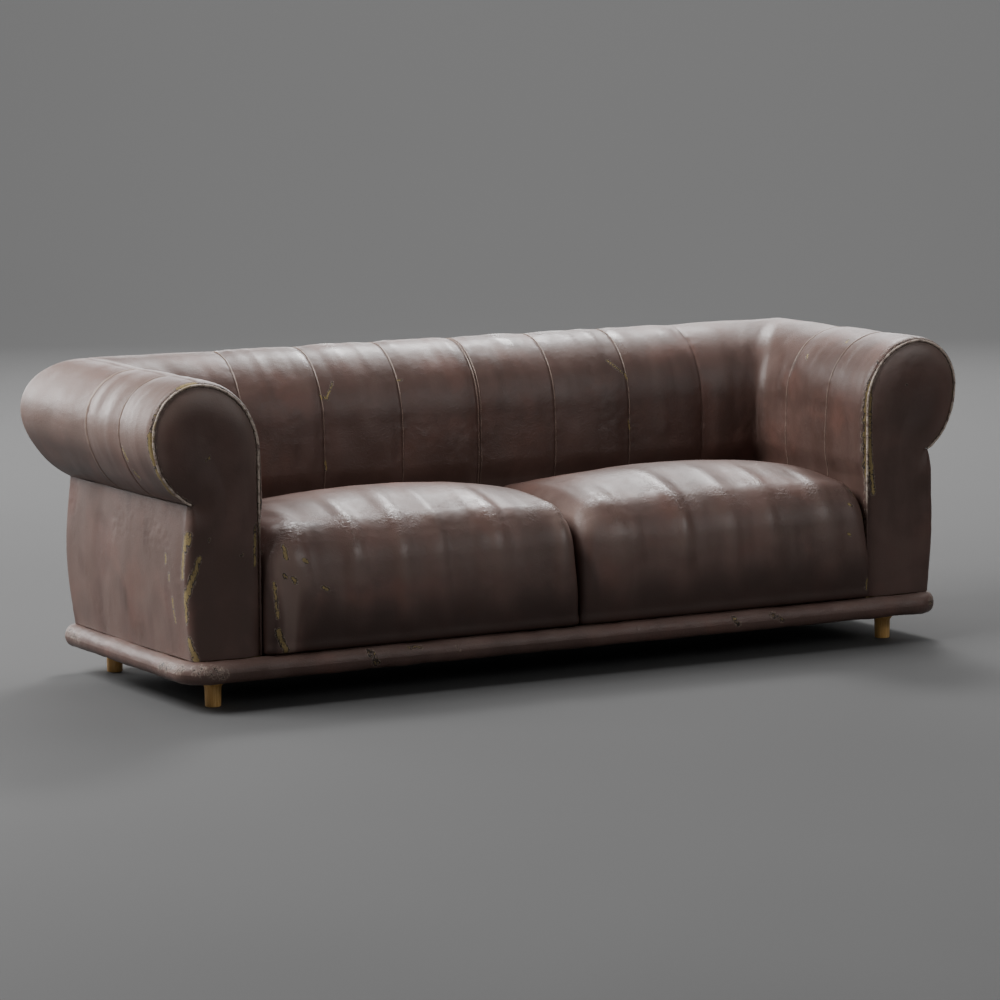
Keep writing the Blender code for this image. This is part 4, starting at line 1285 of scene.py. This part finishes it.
# %% A finish, and the nodes that it is made of
class Finish:
    """A procedural material. Constants go straight on the shader's sockets, by name."""

    def __init__(self, name, **constants):
        self.material = bpy.data.materials.new(name)
        self.material.use_nodes = True
        self.tree = self.material.node_tree
        self.shader = self.tree.nodes["Principled BSDF"]
        for socket, value in constants.items():
            self.shader.inputs[socket.replace("_", " ")].default_value = value

    def node(self, kind, settings=None, sockets=None, result=0):
        made = self.tree.nodes.new("ShaderNode" + kind)
        for key, value in (settings or {}).items():
            setattr(made, key, value)
        for key, value in (sockets or {}).items():
            self.join(value, made.inputs[key])
        return Value(self, made.outputs[result])

    def join(self, value, socket):
        if isinstance(value, Value):
            self.tree.links.new(value.socket, socket)
        elif isinstance(value, tuple) and socket.type == "RGBA":
            socket.default_value = (*value, 1.0)
        else:
            socket.default_value = value

    def paint(self, **links):
        for socket, value in links.items():
            self.join(value, self.shader.inputs[socket.replace("_", " ")])
        return self.material

    # Short names for the nodes that finishes use most.

    def place(self):
        return self.node("TexCoord", result="Object")

    def axes(self, place):
        """The x, y and z of a place, each as a value of its own."""
        split = self.node("SeparateXYZ", {}, {0: place}).socket.node
        return [Value(self, socket) for socket in split.outputs]

    def field(self, name):
        """A number that store() kept on the mesh."""
        return self.node("Attribute", {"attribute_name": name}, result="Fac")

    def noise(self, place, scale, detail=2.0, roughness=0.5, distortion=0.0):
        sockets = {"Vector": place, "Scale": scale, "Detail": detail, "Roughness": roughness}
        return self.node("TexNoise", {}, {**sockets, "Distortion": distortion})

    def stretch(self, place, scale):
        return self.node("Mapping", {}, {"Vector": place, "Scale": scale})

    def step(self, value, low, high, start=0.0, end=1.0):
        """Eases from start to end as value goes from low to high."""
        sockets = {"Value": value, "From Min": low, "From Max": high, "To Min": start, "To Max": end}
        return self.node("MapRange", {"interpolation_type": "SMOOTHSTEP"}, sockets)

    def mix(self, share, first, second):
        """Blends two colours."""
        return self.node("Mix", {"data_type": "RGBA"}, {0: share, 6: first, 7: second}, result=2)

    def bump(self, height, depth=0.001):
        """Heights count in units of depth, in metres."""
        return self.node("Bump", {}, {"Height": height, "Distance": depth, "Strength": 1.0})


# %% [markdown]
# ## Leather
#
# The hide was dyed a red brown and waxed. It is redder where hands and backs have rubbed it, its grain is
# finer than a millimetre, and fine creases break up every highlight. Painted shade darkens its colour in the
# hollows, beside gaps, under the rolls and at the feet, and painted light makes its lit faces and edges paler.
# Where it has worn through, an ochre layer shows, edged with lifted pale skin and dark cracks. One finish
# serves every hide, so that the grain and the wear match wherever two pieces meet.

# %% The worn brown leather
DEEP_BROWN = (0.040, 0.020, 0.015)
DARK_BROWN = (0.104, 0.061, 0.050)
MIDDLE_BROWN = (0.152, 0.090, 0.075)
RED_BROWN = (0.198, 0.094, 0.073)
RUBBED_AND_LIT_BROWN = (0.245, 0.172, 0.146)
PALE_SEAM = (0.350, 0.258, 0.205)
PALE_SKIN = (0.50, 0.41, 0.33)
PALE_WELT = (0.60, 0.50, 0.42)
OCHRE = (0.350, 0.260, 0.110)
CRACK = (0.012, 0.008, 0.006)


def leather_finish(name):
    work = Finish(name, IOR=1.50)
    place = work.place()
    seam, rub = work.field("seam"), work.field("rub")
    tear, crinkle, shade = work.field("tear"), work.field("crinkle"), work.field("shade")
    height_up = work.axes(place)[2]

    # Wide soft clouds of dark and red, and faint streaks that run down the hide.
    clouds = work.noise(place, 3.2, 3.0, 0.5)
    red_clouds = work.noise(place, 5.5, 3.0, 0.55, 0.3)
    patches = work.noise(place, 14.0, 4.0, 0.55, 0.3)
    streaks = work.noise(work.stretch(place, (12.0, 12.0, 3.4)), 1.0, 2.5, 0.5)
    fine = work.noise(place, 260.0, 2.0, 0.6)
    brown = work.mix(work.step(clouds + (patches - 0.5) * 0.35, 0.34, 0.66), DARK_BROWN, MIDDLE_BROWN)
    brown = work.mix(work.step(red_clouds + (patches - 0.5) * 0.3, 0.48, 0.74, 0.0, 0.50), brown, RED_BROWN)
    brown = work.mix(work.step(streaks, 0.50, 0.78, 0.0, 0.24), brown, RUBBED_AND_LIT_BROWN)
    brown = work.mix(work.step(streaks, 0.26, 0.46, 0.26, 0.0), brown, DARK_BROWN)

    # Where shade is above 0 the colour darkens towards deep brown, and where it is below 0 it turns paler:
    # mostly painted shade and painted light, and in places real rubbing.
    brown = work.mix(work.step(shade, 0.0, 1.0, 0.0, 0.75), brown, DEEP_BROWN)
    brown = work.mix(work.step(shade, -1.0, 0.0, 0.70, 0.0), brown, RUBBED_AND_LIT_BROWN)

    # Pores, fine creases and the longer wrinkles of the slack stretches.
    pores = work.node("TexVoronoi", {"feature": "F1"}, {"Vector": place, "Scale": 520.0})
    creases = abs(work.noise(place, 80.0, 3.0, 0.6, 0.9) - 0.5)
    slant = {"Vector": place, "Rotation": (0.0, 0.6, 0.7), "Scale": (1.0, 2.2, 1.6)}
    slanted = work.node("Mapping", {}, slant)
    wrinkles = abs(work.noise(slanted, 52.0, 3.0, 0.6, 1.0) - 0.5)
    relief = pores * 0.05 + work.step(creases, 0.0, 0.10) * (crinkle * 0.12 + 0.03)
    relief = relief + work.step(wrinkles, 0.0, 0.15) * (crinkle * 0.42)

    # The raised edge along a seam is paler on top, a painted highlight that is strongest on the crest and
    # partly real rubbing, with a dark line in the valley beside it.
    ragged = work.noise(place, 55.0, 4.0, 0.65)
    on_crest = work.step(height_up, 0.60, 0.80, 0.50, 0.95)
    seam_highlight_and_rub = work.step(abs(seam - RAISED_EDGE[1]), 0.0006, 0.0018, 1.0, 0.0)
    seam_highlight_and_rub = seam_highlight_and_rub * work.step(ragged, 0.36, 0.60, 0.45, 1.0)
    dark_line = work.step(abs(seam + 0.0002), 0.0003, 0.0016, 1.0, 0.0)
    brown = work.mix(dark_line * 0.35, brown, DEEP_BROWN)
    brown = work.mix(seam_highlight_and_rub * on_crest, brown, PALE_SEAM)

    # Worn-through patches: an ochre middle, a dark crack round it and a lifted pale lip outside that.
    rough_edge = work.noise(work.stretch(place, (1.0, 1.0, 0.6)), 120.0, 3.0, 0.60, 0.9)
    worn = tear + rub * 0.30
    wear = worn + (rough_edge - 0.5) * work.step(worn, 0.0, 0.25, 0.0, 1.9)
    lip = work.step(abs(wear - 0.24), 0.02, 0.10, 1.0, 0.0) * work.step(worn, 0.04, 0.15)
    split = work.step(abs(wear - 0.42), 0.05, 0.13, 1.0, 0.0)
    through = work.step(wear, 0.50, 0.60)
    veins = work.step(abs(work.noise(place, 130.0, 3.0, 0.6, 1.4) - 0.5), 0.010, 0.030, 1.0, 0.0)
    cracks = veins * work.step(tear + rub * 0.5, 0.20, 0.50, 0.0, 0.6)
    brown = work.mix(lip * 0.40, brown, PALE_SKIN)
    brown = work.mix(through * 0.95, brown, OCHRE)
    dark = work.node("Math", {"operation": "MAXIMUM"}, {0: split * 0.85, 1: cracks * 0.9})
    brown = work.mix(dark, brown, CRACK)

    gloss = work.step(patches, 0.25, 0.75, 0.37, 0.46) + (fine - 0.5) * 0.08 + through * 0.3
    gloss = gloss + work.step(shade, 0.2, 1.0, 0.0, 0.14) - work.field("polish") * 0.13
    height = relief + lip * 0.30 - through * 0.45 - split * 0.5 - cracks * 0.5
    return work.paint(Base_Color=brown, Roughness=gloss, Normal=work.bump(height))


worn_leather = leather_finish("worn_brown_leather")


# %% The rubbed welt
def welt_finish(name):
    work = Finish(name, IOR=1.48)
    place = work.place()
    plain = work.field("shade")
    ragged = work.noise(place, 60.0, 5.0, 0.68, 0.6)
    pits = work.noise(place, 150.0, 4.0, 0.65, 0.8)
    worn = work.mix(work.step(ragged, 0.38, 0.54), RUBBED_AND_LIT_BROWN, PALE_WELT)
    worn = work.mix(work.step(work.noise(place, 20.0, 3.0), 0.57, 0.66, 0.0, 0.55), worn, OCHRE)
    worn = work.mix(work.step(pits, 0.60, 0.66), worn, CRACK)
    colour = work.mix(plain, worn, DARK_BROWN)
    height = ragged * 0.8 - work.step(pits, 0.58, 0.66) * 0.7
    return work.paint(Base_Color=colour, Roughness=ragged * 0.3 + 0.42, Normal=work.bump(height))


rubbed_welt = welt_finish("rubbed_piping_leather")
print("leather finishes:", worn_leather.name, rubbed_welt.name)

# %% [markdown]
# ## Oak, beech, foam, cloth, webbing and steel
#
# These mostly lie out of sight, but someone who takes the sofa apart meets all of them. Wood is rings cut
# lengthwise, so stretched noise with a few darker lines reads as grain. Foam is pores. Cloth and webbing
# are two crossing sets of threads, and zinc plating is a bright mottled spangle.

# %% Wood
def wood_finish(name, light, dark, along, gloss):
    """along is the scale of the grain on each axis: small where the grain runs."""
    work = Finish(name)
    place = work.place()
    fibres = work.noise(work.stretch(place, along), 1.0, 6.0, 0.65, 0.6)
    rings = work.noise(work.stretch(place, tuple(0.32 * scale for scale in along)), 1.0, 2.0, 0.5, 1.2)
    colour = work.mix(work.step(fibres, 0.32, 0.68), light, dark)
    colour = work.mix(work.step(rings, 0.50, 0.62, 0.0, 0.5), colour, dark)
    return work.paint(
        Base_Color=colour,
        Roughness=work.step(fibres, 0.2, 0.8, gloss - 0.06, gloss + 0.12),
        Normal=work.bump(fibres, 0.0004),
    )


OAK = ((0.95, 0.62, 0.25), (0.74, 0.40, 0.12))
BEECH = ((0.60, 0.43, 0.27), (0.45, 0.30, 0.17))
oiled_oak = wood_finish("oiled_oak", *OAK, (330.0, 330.0, 24.0), 0.42)
beech_long = wood_finish("beech_frame", *BEECH, (9.0, 150.0, 150.0), 0.62)
beech_deep = wood_finish("beech_frame_deep", *BEECH, (150.0, 9.0, 150.0), 0.62)
beech_upright = wood_finish("beech_frame_upright", *BEECH, (150.0, 150.0, 9.0), 0.62)


# %% Foam
def foam_finish(name):
    work = Finish(name)
    place = work.place()
    pores = work.node("TexVoronoi", {"feature": "F1"}, {"Vector": place, "Scale": 420.0})
    age = work.noise(place, 7.0, 4.0, 0.6)
    colour = work.mix(work.step(age, 0.35, 0.70), (0.66, 0.56, 0.33), (0.50, 0.36, 0.15))
    colour = work.mix(work.step(pores, 0.0, 0.35, 0.5, 0.0), colour, (0.30, 0.21, 0.08))
    dry = work.step(age, 0.2, 0.8, 0.88, 0.98)
    return work.paint(Base_Color=colour, Roughness=dry, Normal=work.bump(pores))


yellowed_foam = foam_finish("yellowed_foam")


# %% Cloth and webbing
def woven_finish(name, warp, weft, pitch, depth, stripe=None):
    """Two crossing sets of threads. pitch is how many threads there are to a metre."""
    work = Finish(name)
    place = work.place()
    x, y, _ = work.axes(place)
    over, under = (work.node("Math", {"operation": "SINE"}, {0: axis * (math.pi * pitch)}) for axis in (x, y))
    weave = over * under * 0.5 + 0.5
    wander = work.noise(place, 60.0, 3.0)
    colour = work.mix(work.step(weave + (wander - 0.5) * 0.5, 0.3, 0.7), warp, weft)
    if stripe:
        band = work.node("Math", {"operation": "SINE"}, {0: x * 21.0})
        colour = work.mix(work.step(band, 0.72, 0.80, 0.0, 0.7), colour, stripe)
    height = weave + wander * 0.5
    return work.paint(Base_Color=colour, Roughness=wander * 0.1 + 0.84, Normal=work.bump(height, depth))


BLACK = ((0.030, 0.030, 0.031), (0.016, 0.016, 0.017))
JUTE = ((0.42, 0.32, 0.19), (0.27, 0.19, 0.10))
JUTE_STRIPE = (0.16, 0.07, 0.04)
lining_cloth = woven_finish("black_lining_cloth", *BLACK, 900.0, 0.0004)
jute_webbing = woven_finish("jute_webbing", *JUTE, 420.0, 0.0010, JUTE_STRIPE)


# %% Steel
def steel_finish(name):
    work = Finish(name)
    place = work.place()
    spangle = work.node("TexVoronoi", {"feature": "F1"}, {"Vector": place, "Scale": 140.0}, result=1)
    dull = work.noise(place, 90.0, 3.0)
    colour = work.mix(dull, (0.62, 0.62, 0.60), (0.48, 0.48, 0.47))
    colour = work.mix(0.25, colour, spangle)
    return work.paint(
        Base_Color=colour,
        Metallic=work.step(dull, 0.1, 0.9, 1.0, 0.85),
        Roughness=work.step(dull, 0.2, 0.8, 0.32, 0.5),
        Normal=work.bump(dull, 0.0002),
    )


zinc_steel = steel_finish("zinc_plated_steel")
print("finishes:", len(bpy.data.materials))


# %% Put every finish on its pieces
def wear_finish(made, material):
    made.data.materials.clear()
    made.data.materials.append(material)


leather_pieces = [*arm_covers.values(), back_cover, *arm_sides.values()]
leather_pieces += [outside_back_leather, base_roll_leather]
for made in [*leather_pieces, *cushions.values()]:
    wear_finish(made, worn_leather)
for made in [*arm_welts.values(), *back_corner_welts]:
    wear_finish(made, rubbed_welt)
for made in legs:
    wear_finish(made, oiled_oak)
wear_finish(cover_cloth, lining_cloth)
wear_finish(cover_staples, zinc_steel)

NODE_FINISHES = (
    # words in a node's name, and its finish: the first line with a word that fits is taken
    (("foam", "core"), yellowed_foam),
    (("cloth", "underside"), lining_cloth),
    (("strap",), jute_webbing),
    (("leg_bolt", "leg_plate"), zinc_steel),
    (("corner_post", "front_post", "upright"), beech_upright),
    (("side_rail", "middle_rail", "arm_top_rail"), beech_deep),
    (("rail", "corner_block"), beech_long),
)
for node_name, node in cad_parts.items():
    fitting = [finish for words, finish in NODE_FINISHES if any(word in node_name for word in words)]
    if fitting:
        for material_slot in node.material_slots:
            material_slot.material = fitting[0]

# %% [markdown]
# ## What rides on what
#
# Nothing on this sofa moves, so every new piece rides on the one body.

new_pieces = [*leather_pieces, *cushions.values(), *arm_welts.values(), *back_corner_welts, *legs]
new_pieces += [cover_cloth, cover_staples]
for made in new_pieces:
    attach(made, "root")
print("new pieces:", len(new_pieces))

# %% [markdown]
# ## Floor, light and camera
#
# The sofa stands on a pale floor that curves up into a wall far behind, so no horizon shows. Two softboxes
# hang over its back, so that every crest catches the light and the fronts stay dark. Low strips behind it
# draw a bright line along the rolls, one large softbox lights the left side, a weak strip at the front
# opens the shadows a little, and one more lamp lights the wall. The camera looks down a little from the
# front left, from far enough away that upright lines stay upright.

# %% The floor and the wall behind
FLAT_RADIUS = 9.0
CURVE_RADIUS = 5.0
WALL_TOP = 13.0
FLOOR_RINGS, CURVE_RINGS, FLOOR_SIDES = 16, 20, 96


def sweep_floor():
    """Flat round the sofa, then curving up all round into a wall."""
    curve = np.linspace(0, math.pi / 2, CURVE_RINGS)[1:]
    flat = np.linspace(0.01, FLAT_RADIUS, FLOOR_RINGS)
    wall = [FLAT_RADIUS + CURVE_RADIUS]
    radius = np.concatenate([flat, FLAT_RADIUS + CURVE_RADIUS * np.sin(curve), wall])
    rise = np.concatenate([np.zeros(FLOOR_RINGS), CURVE_RADIUS * (1 - np.cos(curve)), [WALL_TOP]])
    turn = np.linspace(0, 2 * math.pi, FLOOR_SIDES, endpoint=False)[:, None]
    points = np.stack([radius * np.cos(turn), radius * np.sin(turn), rise + 0 * turn], -1)
    return add_mesh("studio_floor", points, grid_faces(len(turn), len(radius), ring=True, flip=True))


def floor_finish():
    work = Finish("pale_studio_floor")
    cloud = work.noise(work.place(), 0.6, 2.0)
    return work.paint(
        Base_Color=work.mix(cloud, (0.093, 0.093, 0.093), (0.099, 0.099, 0.099)),
        Roughness=work.step(cloud, 0.0, 1.0, 0.85, 0.95),
    )


studio_floor = sweep_floor()
studio_floor.data.materials.append(floor_finish())


# %% Lights
LOOK_AT = Vector((0, 0, 0.45))
ROOM_GLOW = 0.2


def area_light(name, place, look_at, size, power):
    lamp = bpy.data.lights.new(name, "AREA")
    lamp.shape = "RECTANGLE"
    lamp.size, lamp.size_y = size
    lamp.energy = power
    made = bpy.data.objects.new(name, lamp)
    made.location = place
    made.rotation_euler = (look_at - place).to_track_quat("-Z", "Y").to_euler()
    made.visible_camera = False
    bpy.context.scene.collection.objects.link(made)


def way_to(round_from_x, up):
    """The direction that lies so many degrees round from +X, and so many up."""
    turn, rise = math.radians(round_from_x), math.radians(up)
    return Vector((math.cos(turn) * math.cos(rise), math.sin(turn) * math.cos(rise), math.sin(rise)))


LIGHTS = (
    # name, degrees round from +X, degrees up, distance, size, watts
    ("overhead_softbox", 40, 58, 6.0, (5.0, 4.0), 200),
    ("overhead_spot", 50, 46, 6.0, (1.4, 1.0), 190),
    ("back_strip", 61, 15, 8.4, (6.0, 1.4), 150),
    ("back_left_softbox", 108, 14, 6.6, (4.0, 1.8), 134),
    ("back_left_strip", 120, 9, 6.6, (4.0, 1.2), 68),
    ("left_softbox", 170, 45, 6.0, (4.0, 3.0), 425),
    ("low_front_strip", 300, 22, 6.0, (4.0, 1.6), 47),
    ("low_left_strip", 225, 9, 6.0, (3.0, 1.0), 9),
)
for name, round_from_x, up, distance, size, power in LIGHTS:
    area_light(name, LOOK_AT + distance * way_to(round_from_x, up), LOOK_AT, size, power)
area_light("wall_washer", Vector((2.6, 4.8, 7.5)), Vector((7.5, 12.5, 2.5)), (7.0, 1.5), 1460)
print("lights:", len(LIGHTS) + 1)

room = bpy.data.worlds.new("studio_room")
room.use_nodes = True
room.node_tree.nodes["Background"].inputs["Color"].default_value = (1.0, 1.0, 1.0, 1)
room.node_tree.nodes["Background"].inputs["Strength"].default_value = ROOM_GLOW
bpy.context.scene.world = room

# %% Camera
CAMERA_AZIMUTH = math.radians(-29.18)
CAMERA_ELEVATION = math.radians(7.48)
CAMERA_TILT = math.radians(-0.41)
CAMERA_PLACE = (-5.3476, -9.5639, 1.8465)
LENS = 151.2  # in millimetres, as the sensor's width is
SENSOR_WIDTH = 36

camera_data = bpy.data.cameras.new("camera")
camera_data.lens = LENS
camera_data.sensor_width = SENSOR_WIDTH
camera_data.clip_end = 60
camera = bpy.data.objects.new("camera", camera_data)
camera.location = CAMERA_PLACE
aim = Euler((math.pi / 2 - CAMERA_ELEVATION, 0, CAMERA_AZIMUTH)).to_matrix()
camera.rotation_euler = (aim @ Matrix.Rotation(CAMERA_TILT, 3, "Z")).to_euler()
bpy.context.scene.collection.objects.link(camera)
bpy.context.scene.camera = camera
print("camera at", tuple(round(value, 3) for value in camera.location))
